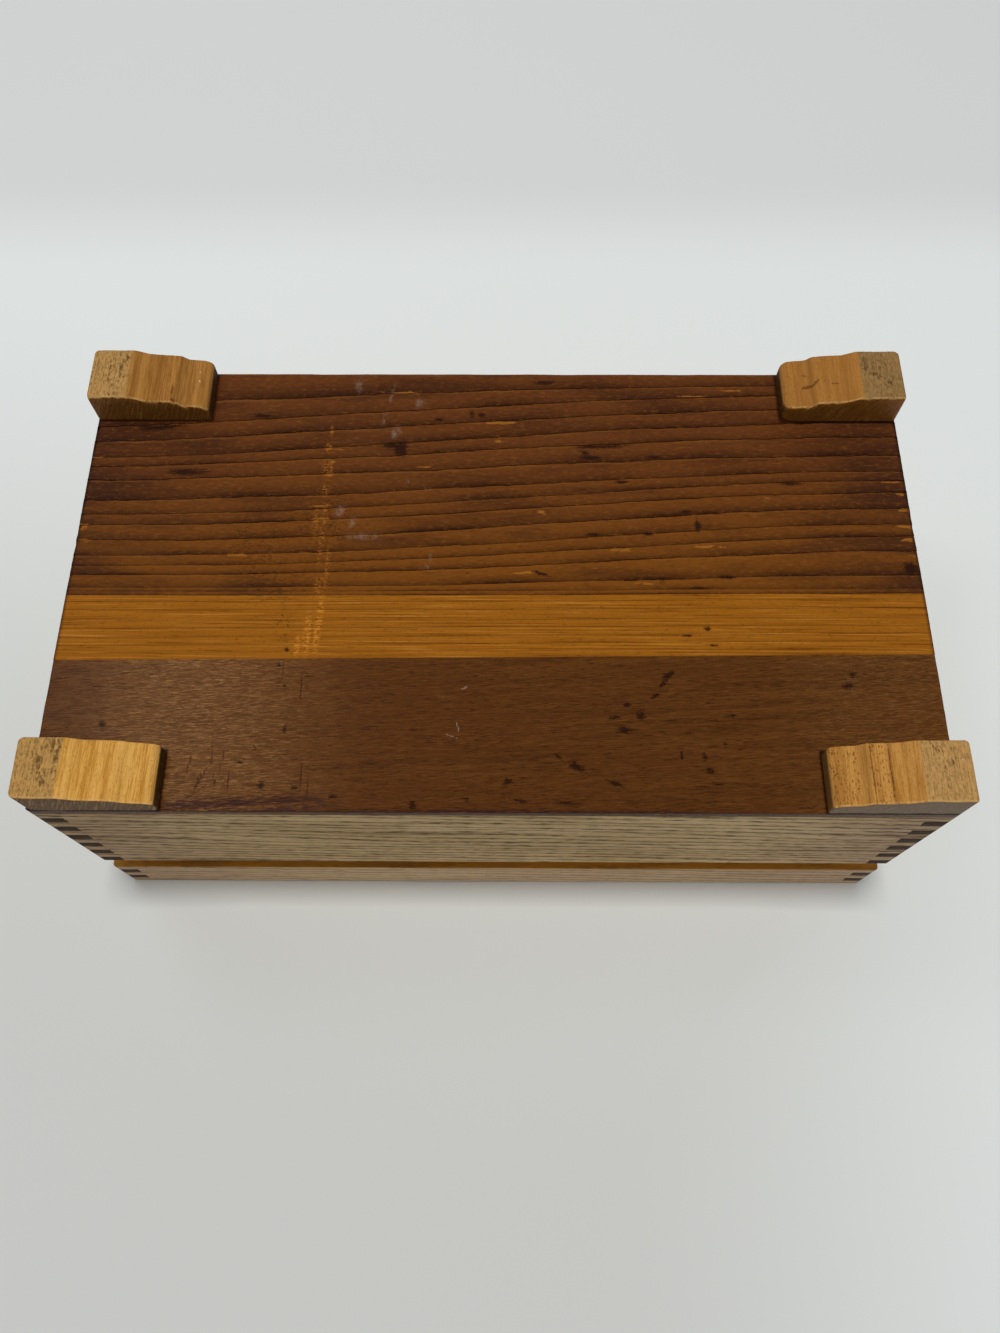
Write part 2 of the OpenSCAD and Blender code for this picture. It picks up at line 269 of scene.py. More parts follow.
# %% [markdown]
# ## Table, floor and light
# The view from below needs a table behind the lid, and the views from above need a floor under the
# feet. Each is a plane that the camera sees from its own side only, so that neither hides the box from
# the other views or blocks its light. The table also shows in reflections, because the polished front
# mirrors it, and it vanishes at a flat slant. Its paint carries a painted fall-off of light: in the camera's
# view its tone drifts from dim at the front left to pale at the back and the right, and dims again far
# back. The floor melts into the backdrop far out, and stops light that has already bounced once, or the
# lit underside would glow on it.

# %% Mix paints that show from one side
SLANT_LIMIT = 0.493
FADE_NEAR, FADE_FAR = 0.45, 1.5
FLOOR_TONE = (0.69, 0.705, 0.70, 1)
# Painted light on the table: dim at the front left, pale at the back and right, painted shade far back.
TABLE_DIM = (0.57, 0.58, 0.561, 1)
TABLE_PALE = (0.716, 0.746, 0.734, 1)
TABLE_FAR = (0.632, 0.646, 0.642, 1)


def one_sided(finish, seen, colour):
    """Makes a finish matt paint that shows where seen is 1, from the front only; all else passes through."""
    behind = finish.node("NewGeometry").outputs["Backfacing"]
    shown = finish.times(seen, finish.less(1.0, behind))
    clear = finish.node("BsdfTransparent").outputs[0]
    paint = finish.node("BsdfDiffuse", {"Color": colour}).outputs[0]
    surface = finish.node("MixShader", {0: shown, 1: clear, 2: paint}).outputs[0]
    finish.feed(finish.tree.nodes["Material Output"].inputs["Surface"], surface)
    finish.tree.nodes.remove(finish.shader)
    return finish.material


print("the floor fades between", FADE_NEAR, "and", FADE_FAR, "m")


# %% Paints for the table and the floor
def table_paint(name):
    """Painted light fall-off: the tone follows Y - 0.3 X, or -1.75 X - 0.248 m where that is more, and dims
    again far back.
    """
    finish = Finish(name)
    rays = finish.node("LightPath").outputs
    slant = finish.node("LayerWeight", {"Blend": 0.5}).outputs["Facing"]
    seen = finish.times(rays["Is Camera Ray"], finish.calc("LESS_THAN", slant, SLANT_LIMIT))
    seen = finish.most(seen, rays["Is Glossy Ray"])
    inward = finish.at("Y")
    lean = finish.less(inward, finish.times(finish.at("X"), 0.3))
    right = finish.times(finish.at("X"), -1.75)
    lean = finish.most(lean, finish.less(right, 0.248))
    tone = finish.mix(finish.step(lean, -0.2, 0.17), TABLE_DIM, TABLE_PALE)
    tone = finish.mix(finish.step(inward, 0.22, 0.29), tone, TABLE_FAR)
    return one_sided(finish, seen, tone)


def floor_paint(name):
    """One tone, which fades with the distance from the middle and also stops light after its first bounce."""
    finish = Finish(name)
    rays = finish.node("LightPath").outputs
    reach = finish.node("VectorMath", {0: finish.place}, operation="LENGTH").outputs["Value"]
    seen = finish.most(rays["Is Camera Ray"], finish.calc("GREATER_THAN", rays["Ray Depth"], 1.5))
    seen = finish.times(seen, finish.step(reach, FADE_FAR, FADE_NEAR))
    return one_sided(finish, seen, FLOOR_TONE)


table_material = table_paint("table_paint")
floor_material = floor_paint("floor_paint")
for material in (table_material, floor_material):
    print(material.name, len(material.node_tree.nodes), "nodes")

# %% Lay the table and the floor
STAGE_HALF = 3.0


def stage_plane(name, z, facing_up, material):
    """Square at height z, with its corners ordered so that it faces up or down."""
    corners = np.array([(-1, -1, 0), (1, -1, 0), (1, 1, 0), (-1, 1, 0)]) * STAGE_HALF
    mesh = bpy.data.meshes.new(name)
    mesh.from_pydata((corners + (0, 0, z)).tolist(), [], [[0, 1, 2, 3] if facing_up else [3, 2, 1, 0]])
    mesh.materials.append(material)
    plane = in_scene(name, mesh)


stage_plane("table", cad_high.z, False, table_material)
stage_plane("floor", cad_low.z, True, floor_material)
print("table at", round(cad_high.z / MM, 1), "mm, floor at", round(cad_low.z / MM, 1), "mm")

# %% [markdown]
# One soft lamp hangs far below the box, a little behind its middle, so the shadow on the table stays
# short and tight. A broad panel lights the lid from above. Both stay out of reflections, because a
# varnished board would mirror them as white squares; a smaller lamp gives the sheen instead. The world
# fills in the rest, a little dimmer from below.

# %% Hang the lamps
middle = (cad_low + cad_high) / 2


def soft_panel(name, place, size, radiance, mirrored):
    """Square lamp aimed at the box: a panel of area A gives off radiance * pi * A watts."""
    data = bpy.data.lights.new(name, "AREA")
    data.size = size
    data.energy = radiance * math.pi * size**2
    panel = in_scene(name, data)
    panel.location = place
    panel.rotation_euler = (middle - Vector(place)).to_track_quat("-Z", "Y").to_euler()
    panel.visible_glossy = mirrored
    panel.visible_camera = False
    print(name, round(data.energy, 1), "W")


soft_panel("under_lamp", (0.0, 0.04, -3.5), 0.45, 144.0, False)
soft_panel("over_panel", (-0.2, -0.2, 1.1), 1.6, 1.7, False)
soft_panel("sheen_lamp", (0.44, 0.26, -0.83), 0.3, 3.0, True)

# %% Fill the room with light
WORLD_BELOW, WORLD_ABOVE, BACKDROP = 0.2, 0.42, 0.68

world = bpy.data.worlds.new("room")
bpy.context.scene.world = world
world.use_nodes = True
room = Wiring(world.node_tree)
height = room.axis(room.node("TexCoord").outputs["Generated"], "Z")
span = {"Value": height, "From Min": -1, "From Max": 1, "To Min": WORLD_BELOW, "To Max": WORLD_ABOVE}
fill = room.node("MapRange", span).outputs[0]
seen = room.node("LightPath").outputs["Is Camera Ray"]
background = room.tree.nodes["Background"]
room.feed(background.inputs["Strength"], room.node("Mix", {0: seen, 2: fill, 3: BACKDROP}).outputs[0])
room.feed(background.inputs["Color"], (1, 1, 1, 1))
bpy.context.scene.view_settings.view_transform = "Standard"
print("three lamps and a pale room")

# %% [markdown]
# ## Skins over cross-sections
# Boards, feet and felt are all long pieces whose cross-section changes along X. So each is a stack of
# closed loops, computed as whole arrays and joined by quads, with a fan of triangles at either end.
# Numbers that the finish needs, such as how deep a stain is, ride along as attributes of the points.


# %% Join a stack of loops into a closed skin
def smooth_piece(name, mesh, sharp_deg):
    """The mesh as a piece in the scene, shaded smooth but for edges that turn by more than sharp_deg."""
    mesh.shade_smooth()
    mesh.set_sharp_from_angle(angle=math.radians(sharp_deg))
    return in_scene(name, mesh)


def closed_skin(name, x, y, z, fields=(), sharp_deg=32):
    """Row i of x, y and z is one loop, lower side first, then up the back; X grows from row to row.
    Neighbouring loops are joined by quads, and each end loop by triangles to its own middle."""
    rows, loop = x.shape
    points = np.stack([x, y, z], -1).reshape(-1, 3)
    middles = np.stack([points[:loop].mean(0), points[-loop:].mean(0)])
    near = np.arange(loop)
    step = (near + 1) % loop
    row = np.arange(rows - 1)[:, None] * loop
    quads = np.stack([row + near, row + step, row + loop + step, row + loop + near], -1).reshape(-1, 4)
    far = (rows - 1) * loop
    first = np.stack([np.full(loop, rows * loop), step, near], -1)
    last = np.stack([np.full(loop, rows * loop + 1), far + near, far + step], -1)
    faces = quads.tolist() + first.tolist() + last.tolist()
    mesh = bpy.data.meshes.new(name)
    mesh.from_pydata(np.vstack([points, middles]).tolist(), [], faces)
    for key, values in dict(fields).items():
        ends = (values[0].mean(), values[-1].mean())
        carried = mesh.attributes.new(key, "FLOAT", "POINT")
        carried.data.foreach_set("value", np.append(values.ravel(), ends).astype(np.float32))
    print(name, len(mesh.polygons), "faces")
    return smooth_piece(name, mesh, sharp_deg)


# %% Close lower runs into loops, and dress a piece
def close_loop(run_y, run_z, top, front, back, points):
    """Adds upright edges of so many points to lower runs: up the back to the top, and down the front."""
    up = np.linspace(0, 1, points + 1)[1:]
    upright = np.ones((1, points))
    back_z = run_z[:, -1:] + (top - run_z[:, -1:]) * up
    front_z = run_z[:, :1] + (top - run_z[:, :1]) * up[::-1]
    y = np.hstack([run_y, back[:, None] * upright, front[:, None] * upright])
    return y, np.hstack([run_z, back_z, front_z])


def with_edges(on_run, points, **on_edges):
    """Carries fields from the lower runs on to the upright edges: as 0, or as the number given there."""
    bare = {key: np.full((len(values), 2 * points), on_edges.get(key, 0.0)) for key, values in on_run.items()}
    return {key: np.hstack([values, bare[key]]) for key, values in on_run.items()}


def dress(piece, node, body, material):
    """Puts a new piece in a CAD node's stead: finish, body and material slot."""
    piece.data.materials.append(material)
    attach(piece, body)
    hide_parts(node)


square_y, square_z = close_loop(np.array([[0.0, 1.0]]), np.zeros((1, 2)), 1.0, np.zeros(1), np.ones(1), 1)
print("a run of two points closes into a square:", list(zip(square_y[0].tolist(), square_z[0].tolist())))


# %% Shape functions that the pieces share
def ease(t):
    """Smooth step: 0 below 0, 1 above 1, 3t^2 - 2t^3 between."""
    t = np.clip(t, 0, 1)
    return t * t * (3 - 2 * t)


def round_over(distance, radius):
    """How far a quarter-round edge has drawn back at a distance from the end: r - sqrt(r^2 - (r - d)^2)."""
    short = np.clip(radius - distance, 0, radius)
    return radius - np.sqrt(np.maximum(radius**2 - short**2, 0))


def ripple(x, y, size, seed, waves=7):
    """Irregular relief between about -1 and 1: a sum of sine waves of seeded direction and phase."""
    draw = np.random.default_rng(seed)
    total = np.zeros(np.broadcast(x, y).shape)
    for _ in range(waves):
        angle, phase = draw.uniform(0, 2 * math.pi, 2)
        pitch = size * draw.uniform(0.6, 1.7)
        total += np.sin(2 * math.pi * (x * math.cos(angle) + y * math.sin(angle)) / pitch + phase)
    return total / math.sqrt(2 * waves)


def blots(x, y, marks):
    """Strongest of a list of marks, each (x, y, half length, half width) in mm and a turn in degrees if
    it has one: exp(-(u / length)^2 - (v / width)^2) in the mark's own turned axes."""
    best = np.zeros(np.broadcast(x, y).shape)
    for at_x, at_y, length, width, *turned in marks:
        turn = math.radians(turned[0] if turned else 0)
        c, s = math.cos(turn), math.sin(turn)
        u = ((x - at_x) * c + (y - at_y) * s) / length
        v = ((y - at_y) * c - (x - at_x) * s) / width
        best = np.maximum(best, np.exp(-u * u - v * v))
    return best


def mark_fields(x, y, **lists):
    """One field for each named list of marks."""
    return {name: blots(x, y, marks) for name, marks in lists.items()}


print("a 1 mm round-over draws back", round(float(round_over(0.1, 1.0)), 2), "mm at 0.1 mm from its end")

# %% [markdown]
# ## The ridged base board
# The back board is softwood whose soft early wood has worn away and left each ring's hard late wood
# standing. Displacing a plain grid would give every slanting ring a saw-tooth edge. Here the grid
# itself follows the rings: one parameter runs along the board and the other counts rings, so each
# ring's lip stays crisp. The lines start at the right-hand end and rise towards the left.

# %% Measure the boards
back_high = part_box("base_board_back")[1]
HALF_W = back_high.x / MM
DEPTH = (back_high.y - FRONT_Y) / MM
BOARD_T = (back_high.z - BASE_Z) / MM
CORNER_R = 1.0
GLUE_RIGHT, GLUE_LEFT = 49.0, 52.0


def end_spacing(step):
    """Places along X: close together at the rounded ends and step mm apart between."""
    ends = np.array((0, 0.12, 0.3, 0.6, 1.0))
    inner = np.linspace(1.0 - HALF_W, HALF_W - 1.0, int(2 * HALF_W / step))
    return np.concatenate([ends - HALF_W, inner[1:-1], HALF_W - ends[::-1]])


def across_board(x):
    """Share of the board's length from its right-hand end."""
    return (HALF_W - x) / (2 * HALF_W)


def glue_line(x):
    """Distance of the joint between the two boards from the front: straight, but a little skew."""
    return GLUE_RIGHT + (GLUE_LEFT - GLUE_RIGHT) * across_board(x)


print("base, mm:", round(2 * HALF_W, 1), "x", round(DEPTH, 1), "x", round(BOARD_T, 1))

# %% Follow the rings across the board
RINGS = (
    (72.2, 73.6), (73.6, 75.5), (75, 80.5), (79.8, 89.5), (83.2, 95.2), (87, 100), (92.9, 106), (98.8, 112.4),
    (102.8, 117), (108.5, 120.8), (116.7, 127.3), (122.1, 135), (125.6, 141), (132.3, 147), (138.5, 153),
    (148, 157),
)
SAP_SHARES = np.array((0, 0.1, 0.22, 0.34, 0.48, 0.6, 0.77, 0.9))
# Each wander of the lines: the size of its waves and its depth in mm, and the seed of the first line.
WANDER = ((60, 0.3, 40), (8, 0.16, 90), (2.6, 0.1, 140))
FULL_WANDER_GAP = 6
RIDGED_STEP = 0.95


def ring_line(start, end, across):
    """Distance of a ring from the front: start at the right-hand end, end at the left, and between them an
    S-curve of across^bend, which turns late near the sapwood (bend 1.35) and early far back (0.7)."""
    bend = 1.35 - 0.65 * (start - 75) / 65
    return start + (end - start) * ease(across**bend)


bx = end_spacing(RIDGED_STEP)
glue = glue_line(bx)
heart_lines = np.array([ring_line(start, end, across_board(bx)) for start, end in RINGS])
sap_lines = glue + SAP_SHARES[:, None] * (heart_lines[0] - glue)
lines = np.vstack([sap_lines, heart_lines, np.full_like(bx, DEPTH)])
wander = np.array([sum(depth * ripple(bx, 0, size, seed + n) for size, depth, seed in WANDER)
                   for n in range(len(lines))])
gap = np.minimum(np.diff(lines, axis=0, prepend=lines[:1]), np.diff(lines, axis=0, append=lines[-1:]))
lines = lines + wander * np.clip(gap / FULL_WANDER_GAP, 0, 1)
print(len(lines), "ring lines, the first heart ring", RINGS[0][0], "mm from the front")

# %% Marks that use has left on the ridged board
# A mark's place is its X from the middle of the base and its distance from the front edge, in mm.
CHIPS = [
    (33.5, 153.6, 6, 0.5), (-68.5, 152.2, 7, 0.4), (-42.5, 89.9, 4.5, 0.5, 2), (-71, 91, 6, 0.45, 2),
    (-15.5, 104.4, 2.4, 0.7, 8), (-49.5, 77, 3, 0.5), (-10, 81, 5, 0.4, -3), (55, 129.6, 4.5, 0.4),
    (57, 123.8, 3.5, 0.4), (59, 106.4, 3.4, 0.5), (59, 101.4, 3.4, 0.5), (-2, 140.8, 7, 0.5),
    (-1, 133, 2, 0.7), (86, 87.5, 5, 0.4), (-136, 116.6, 5, 0.4), (-139, 111.8, 3, 0.7),
    (-139, 105.3, 4, 0.8), (-139, 98.8, 4, 0.8), (-139, 94, 4, 0.7), (-139, 88, 4.5, 0.7),
    (-91, 110, 6, 0.4), (139, 98.2, 2.6, 1), (138, 92.9, 3.4, 0.4), (139, 125.8, 4, 0.4),
    (24, 122, 3, 0.4), (-85, 154.8, 6, 0.3), (30, 60, 8, 0.45), (23, 57, 4, 0.45), (110, 69, 4, 0.4),
]
STAINS = [
    (33, 129.5, 2.4, 3.2), (36.5, 131, 3, 1.2), (20, 142, 1.9, 0.9), (8.5, 144.5, 0.7, 1.7),
    (5, 144, 1.3, 0.9), (82, 143.3, 3.6, 0.8, 4), (-36, 130.8, 9, 0.8, -3), (-33, 126, 4, 0.9),
    (-31, 128, 1.6, 0.9), (-55, 126.3, 2.6, 0.6), (-43, 116.3, 2.3, 0.7), (-64.5, 104.6, 2.3, 0.6),
    (-68, 99, 1, 2.6), (-51, 95.7, 1.7, 0.5), (-33, 95.4, 2.6, 0.7), (-15, 80.8, 3.2, 0.6, 20),
    (-17, 158, 4.2, 0.8), (-101, 115.8, 4, 0.7), (106, 120, 7, 1.3), (118, 138.6, 9, 1, -6),
    (-137, 83, 2.6, 2.4), (-68.5, 60.8, 1, 0.9, 40), (-70, 54.9, 1.4, 0.5), (-62, 58.3, 2, 0.4),
    (66, 53, 0.7, 0.8), (-108, 141, 4, 0.8), (-55, 78.5, 0.5, 1.5), (-76, 79.5, 3, 0.5), (-67, 75.4, 3, 0.4),
]
CHALK = [
    (49, 156.5, 1.4, 3.4), (27, 149, 1.8, 2.4), (39.5, 142, 0.9, 3.2, 15), (35, 136.5, 1.7, 3, 30),
    (52.5, 104.5, 1.4, 3, 25), (48, 100, 1.2, 2.4, 30), (44, 94.5, 6, 1.3), (22.5, 83.4, 0.9, 1.9),
    (21.5, 87, 0.5, 1.8), (23.5, 113.5, 0.6, 1.3), (30, 116.5, 0.5, 2.2, 25), (37, 153, 0.6, 5, 8),
]
SCUFFS = [
    (56.6, 62, 1.2, 12, 3), (60, 58, 1.4, 9), (63, 54, 1.0, 5), (55.2, 82, 0.8, 10), (57.6, 76, 1.6, 4),
    (58, 92, 0.8, 9, 2), (60.4, 100, 0.9, 6), (57.6, 104, 0.7, 6), (58, 113, 1.3, 3), (57.2, 121, 1.5, 4),
    (59.4, 122, 0.7, 3), (58, 130, 1.2, 2.4), (57.4, 137, 0.6, 3),
]
CRAZE = [(78, 92, 13, 15), (72, 76, 14, 7), (68, 62, 3, 9), (58, 100, 12, 20)]
print(len(CHIPS) + len(STAINS) + len(CHALK) + len(SCUFFS), "marks")

# %% Wear at the edges, and glue with a painted contact shadow round the feet
SEAM_MM = 0.85
LEAST_WEAR = 0.15
foot_nodes = [name for name in nodes if name.startswith("foot_")]


def glue_and_contact_shadow(x, y):
    """Dark line of glue and painted contact shadow round the feet: exp(-(d / SEAM_MM)^2) at d mm outside the
    nearest foot.
    """
    best = np.zeros(x.shape)
    for node in foot_nodes:
        low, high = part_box(node)
        out_x = np.maximum(np.maximum(low.x / MM - x, x - high.x / MM), 0)
        out_y = np.maximum(np.maximum((low.y - FRONT_Y) / MM - y, y - (high.y - FRONT_Y) / MM), 0)
        best = np.maximum(best, np.exp(-(out_x**2 + out_y**2) / SEAM_MM**2))
    return best


def worn_edge(x, y, front, back, radius, seed):
    """How much of the lower face is lost near the ends and long edges: round-overs of varying radius."""
    loose = np.maximum(radius * (1 + 0.6 * ripple(x, y, 14, seed)), LEAST_WEAR)
    lost = np.maximum(round_over(y - front, loose), round_over(back - y, loose))
    return np.maximum(lost, round_over(HALF_W - np.abs(x), loose))


print("glue seams round", len(foot_nodes), "feet")

# %% Raise the lips and close the board
LIP_SHARES = np.array((0, 0.025, 0.07, 0.14, 0.23, 0.34, 0.46, 0.6, 0.75, 0.9, 1.0))
LIP_SLOPE, LEAST_LIP, MOST_LIP = 0.075, 0.1, 0.4
CHIP_DEPTH, PLANED_DEPTH = 0.3, 0.02
END_BITE, END_REACH = 0.9, 1.5
EDGE_POINTS = 3
PAST_GLUE = 9

bands = lines[1:] - lines[:-1]
run_y = (lines[:-1, None, :] + LIP_SHARES[None, :, None] * bands[:, None, :]).reshape(-1, len(bx)).T
run_x = bx[:, None] * np.ones_like(run_y)
phase = np.tile(LIP_SHARES, len(bands))[None, :] * np.ones_like(run_y)
ring = np.repeat(np.arange(len(bands)), len(LIP_SHARES))[None, :] * np.ones_like(run_y)
heart = (ring >= len(SAP_SHARES)).astype(float)
chip = blots(run_x, run_y, CHIPS)
strength = np.clip(0.92 + 0.2 * ripple(run_x, ring * 37, 46, 7), 0.5, 1.1) * (0.7 + 0.3 * heart)
lip_depth = np.clip(LIP_SLOPE * np.repeat(bands, len(LIP_SHARES), 0).T, LEAST_LIP, MOST_LIP) * strength
hollow = lip_depth * phase**1.15 + CHIP_DEPTH * ease(chip * 2 - 0.6)
hollow = hollow + PLANED_DEPTH * (1 + ripple(run_x, run_y * 6, 7, 5))
hollow = hollow + worn_edge(run_x, run_y, glue[:, None] - PAST_GLUE, DEPTH, 0.2, 6)
corner = round_over(HALF_W - np.abs(bx), CORNER_R)
run_y = np.minimum(run_y, (DEPTH - corner)[:, None])
y, z = close_loop(run_y, hollow, BOARD_T, glue, DEPTH - corner, EDGE_POINTS)
x = bx[:, None] * np.ones_like(y)
at_end = ease(1 - (HALF_W - np.abs(run_x)) / END_REACH)
x[:, :run_x.shape[1]] -= np.sign(run_x) * END_BITE * at_end * phase**1.5 * strength * heart
fields = mark_fields(run_x, run_y, stain=STAINS, chalk=CHALK, scuff=SCUFFS, craze=CRAZE)
fields.update(late=(1 - phase) * strength, heart=heart, chip=chip, seam=glue_and_contact_shadow(run_x, run_y))
fields = with_edges(fields, EDGE_POINTS, heart=1.0)
ridged_board = closed_skin("ridged_board", x * MM, FRONT_Y + y * MM, BASE_Z + z * MM, fields, 25)

# %% [markdown]
# Heartwood and sapwood share one finish. Each ring darkens towards its late wood, which the mesh's own
# ring count gives, and fibres are noise drawn out along X. The marks come as soft fields on the mesh;
# cutting them off at a threshold that noise disturbs gives each a ragged edge finer than the mesh.


# %% Colour the rings
def ring_colours(wood, fibre, streak, cloud):
    """Heartwood, darker by the mesh's late wood, by clouds and near the ends, and streaky sapwood."""
    late = wood.calc("POWER", wood.field("late"), 2.2)
    late = wood.plus(late, wood.sway(fibre, 0.55))
    early = wood.mix(wood.step(wood.at("Y"), -0.03, 0.06), srgb(126, 73, 17), srgb(100, 55, 23))
    heart = wood.touch(early, late, 0.9, (47, 21, 7))
    heart = wood.touch(heart, wood.step(cloud, 0.45, 0.8), 0.75, (56, 29, 16))
    ends = wood.times(wood.step(wood.abs(wood.at("X")), 0.075, 0.14), wood.step(cloud, 0.25, 0.6))
    heart = wood.touch(heart, ends, 0.65, (48, 25, 19))
    sap = wood.touch(srgb(152, 92, 18), wood.step(late, 0.05, 0.5), 0.5, (112, 64, 10))
    sap = wood.touch(sap, wood.step(streak, 0.46, 0.3), 0.85, (106, 58, 7))
    sap = wood.touch(sap, wood.step(streak, 0.54, 0.7), 0.7, (184, 122, 46))
    return wood.mix(wood.field("heart"), sap, heart)


def ragged(wood, field, noise, level, reach, soft=0.12):
    """A mark's crisp shape: where a field, disturbed by noise, passes a level."""
    disturbed = wood.plus(wood.field(field), wood.sway(noise, 2 * reach))
    return wood.step(disturbed, level - soft, level + soft)


def veins(wood, noise, width):
    """Thin wandering lines: where a noise passes through its middle value."""
    return wood.step(wood.abs(wood.less(noise, 0.5)), width, 0.2 * width)


print("heartwood starts at ring line", len(SAP_SHARES))


# %% Lay the marks over the rings
def ridged_softwood(name):
    """Rings, mottling, cracks, scuffs, painted lip highlights, chips, stains, glue and painted shadow by the
    feet, dark ends, chalk.
    """
    wood = Finish(name, Specular_IOR_Level=0.1)
    fibre = wood.noise(along("X", 8, 0.26), 3, 0.65)
    streak = wood.noise(along("X", 40, 0.6), 2, 0.6)
    cloud = wood.noise(along("X", 45, 8), 3, 0.55)
    mottle = wood.noise(along("X", 2.6, 0.9), 4, 0.65)
    speck = wood.noise(along("X", 1, 0.6), 3, 0.7)
    colour = wood.shade(ring_colours(wood, fibre, streak, cloud), wood.step(fibre, -0.7, 0.85))
    colour = wood.touch(colour, wood.step(mottle, 0.5, 0.7), 0.3, (132, 82, 30))
    colour = wood.touch(colour, wood.step(mottle, 0.46, 0.28), 0.4, (46, 25, 10))
    cracks = veins(wood, wood.noise((3.2, 1.8, 2), 2, 0.6), 0.035)
    cracks = wood.times(wood.step(wood.field("craze"), 0.1, 0.9), cracks)
    colour = wood.touch(colour, cracks, 0.55, (42, 22, 8))
    late = wood.field("late")
    scuff = wood.field("scuff")
    struck = wood.most(wood.step(speck, 0.5, 0.6), wood.step(late, 0.22, 0.05))
    nicks = wood.times(wood.step(scuff, 0.1, 0.8), struck)
    bright = wood.mix(wood.field("heart"), srgb(196, 124, 42), srgb(156, 94, 28))
    colour = wood.mix(wood.times(nicks, 0.85), colour, bright)
    pits = wood.times(wood.step(scuff, 0.1, 0.6), wood.step(speck, 0.42, 0.34))
    colour = wood.touch(colour, pits, 0.8, (52, 26, 7))
    # Painted highlight: a thin pale line on each ring's lip, beside its dark line.
    lip_highlight = wood.times(wood.step(late, 0.16, 0.02), wood.step(streak, 0.4, 0.62))
    colour = wood.touch(colour, lip_highlight, 0.25, (150, 96, 42))
    colour = wood.touch(colour, ragged(wood, "chip", mottle, 0.5, 1.0), 0.7, (156, 98, 34))
    grit = wood.times(wood.plus(fibre, speck), 0.5)
    colour = wood.touch(colour, ragged(wood, "stain", grit, 0.42, 1.3, 0.3), 0.88, (33, 15, 8))
    # Glue and painted contact shadow round the back feet.
    colour = wood.touch(colour, ragged(wood, "seam", grit, 0.5, 0.6, 0.35), 0.85, (32, 9, 3))
    rim = wood.step(wood.abs(wood.at("X")), (HALF_W - 1.4) * MM, HALF_W * MM)
    colour = wood.touch(colour, rim, 0.7, (30, 14, 8))
    smear = wood.noise((1.2, 3, 3), 5, 0.75, (0, 0, -25))
    dust = wood.times(wood.step(wood.field("chalk"), 0.05, 0.9), wood.step(smear, 0.4, 0.66))
    colour = wood.touch(colour, dust, 0.3, (158, 140, 124))
    rough = wood.plus(wood.step(fibre, -0.6, 1.6), 0.1)
    wood.paint(Base_Color=colour, Roughness=rough, Normal=wood.bump(wood.plus(fibre, mottle), 0.1, 0.6))
    return wood.material


dress(ridged_board, "base_board_back", "body", ridged_softwood("ridged_softwood"))
print("ridged board dressed")

# %% [markdown]
# ## The plain base board
# The front board is a darker, close-grained wood, planed flat. It could stay a CAD box with a finish,
# but its long edge is worn and its scratches need a finer mesh than a box has, so it gets the same
# treatment: a fine run of points across, rounded unevenly at the edges, with the marks as fields.

# %% Marks on the plain board
DARK_SPOTS = [
    (-55, 44.5, 2.6, 1.1, -45), (-53, 41.5, 2, 0.7, -50), (-50.5, 37.4, 2, 0.6, -30), (-41.5, 34.5, 1.4, 0.8),
    (-45.5, 31, 1.6, 1.5), (-37.5, 30.3, 2, 0.6), (-40.5, 26.2, 2.5, 1.1), (-25.5, 14.2, 3.1, 1.2, 30),
    (-4.5, 9.5, 1.7, 1.2), (-57.5, 18, 0.5, 1.7), (-66, 12.8, 1.5, 0.9), (-64.5, 17.5, 0.8, 1.2),
    (-111, 41, 1.7, 1.1), (-112.8, 44.8, 1.3, 0.8), (121, 27.2, 1.2, 1.1), (65.5, 40.5, 0.5, 0.5),
    (64.3, 25.8, 0.6, 1.5, 15), (77, 15.2, 1.2, 0.5, 20), (70, 8, 1.2, 1.1), (60, 7.4, 1, 0.7),
    (48, 4.7, 1.6, 0.6), (-20, 17.5, 1.8, 0.4, 30), (-8, 3.5, 3, 0.5, 10), (-22, 3, 3, 0.5),
    (24, 2, 1.2, 1.6), (8, 4, 1.2, 0.6, 20), (-74, 31, 1, 0.6), (-71, 21.7, 0.6, 0.5), (-68, 9, 2.6, 0.4),
    (68, 47.5, 0.7, 0.7), (-37, 9, 3, 0.7, 20),
]
SCRATCHES = [
    (60.3, 39, 9, 0.4, 88), (88, 10.8, 6.8, 0.45, -67), (89.3, 9.6, 5, 0.45, -77), (84.2, 9.2, 4, 0.4, 79),
    (88, 6.8, 4.4, 0.4, -40), (80, 9, 6, 0.4, 88), (92.6, 14, 7, 0.4, -80), (86, 19, 8, 0.35, 86),
    (82.5, 17, 9, 0.35, -84), (91, 4.6, 2.6, 0.5, -30), (78.6, 15, 10, 0.35, 90), (58, 10, 9, 0.4, 88),
    (66.5, 46, 8, 0.4, 90), (56, 8, 7, 0.4, 89), (64.6, 26.5, 3, 0.45, -62), (73, 20, 1.4, 0.45, 55),
    (-64, 8, 5, 0.4, 4), (-67, 6.4, 5, 0.4), (-62, 14.5, 2.6, 0.4), (-20, 17, 4, 0.4, 40),
]
RUBBED = [(78, 1.0, 24, 3.4), (60, 2.6, 10, 2.6), (-22, -0.6, 60, 1.5), (20, -0.6, 40, 1.4)]
TICKS = [(9, 40, 1.6, 0.5, -25), (16, 37, 1.8, 0.3), (11, 27, 3, 0.35, 75), (13, 24, 3, 0.3, 20)]
print(len(DARK_SPOTS), "spots and", len(SCRATCHES), "scratches")

# %% Lay the plain board
EDGE_SHARES = (0, 0.003, 0.008, 0.016)
PLAIN_STEP, PLAIN_ROWS = 0.58, 88
SMOOTHED_DEPTH, SCRATCH_DEPTH, RUB_DEPTH = 0.015, 0.1, 0.25

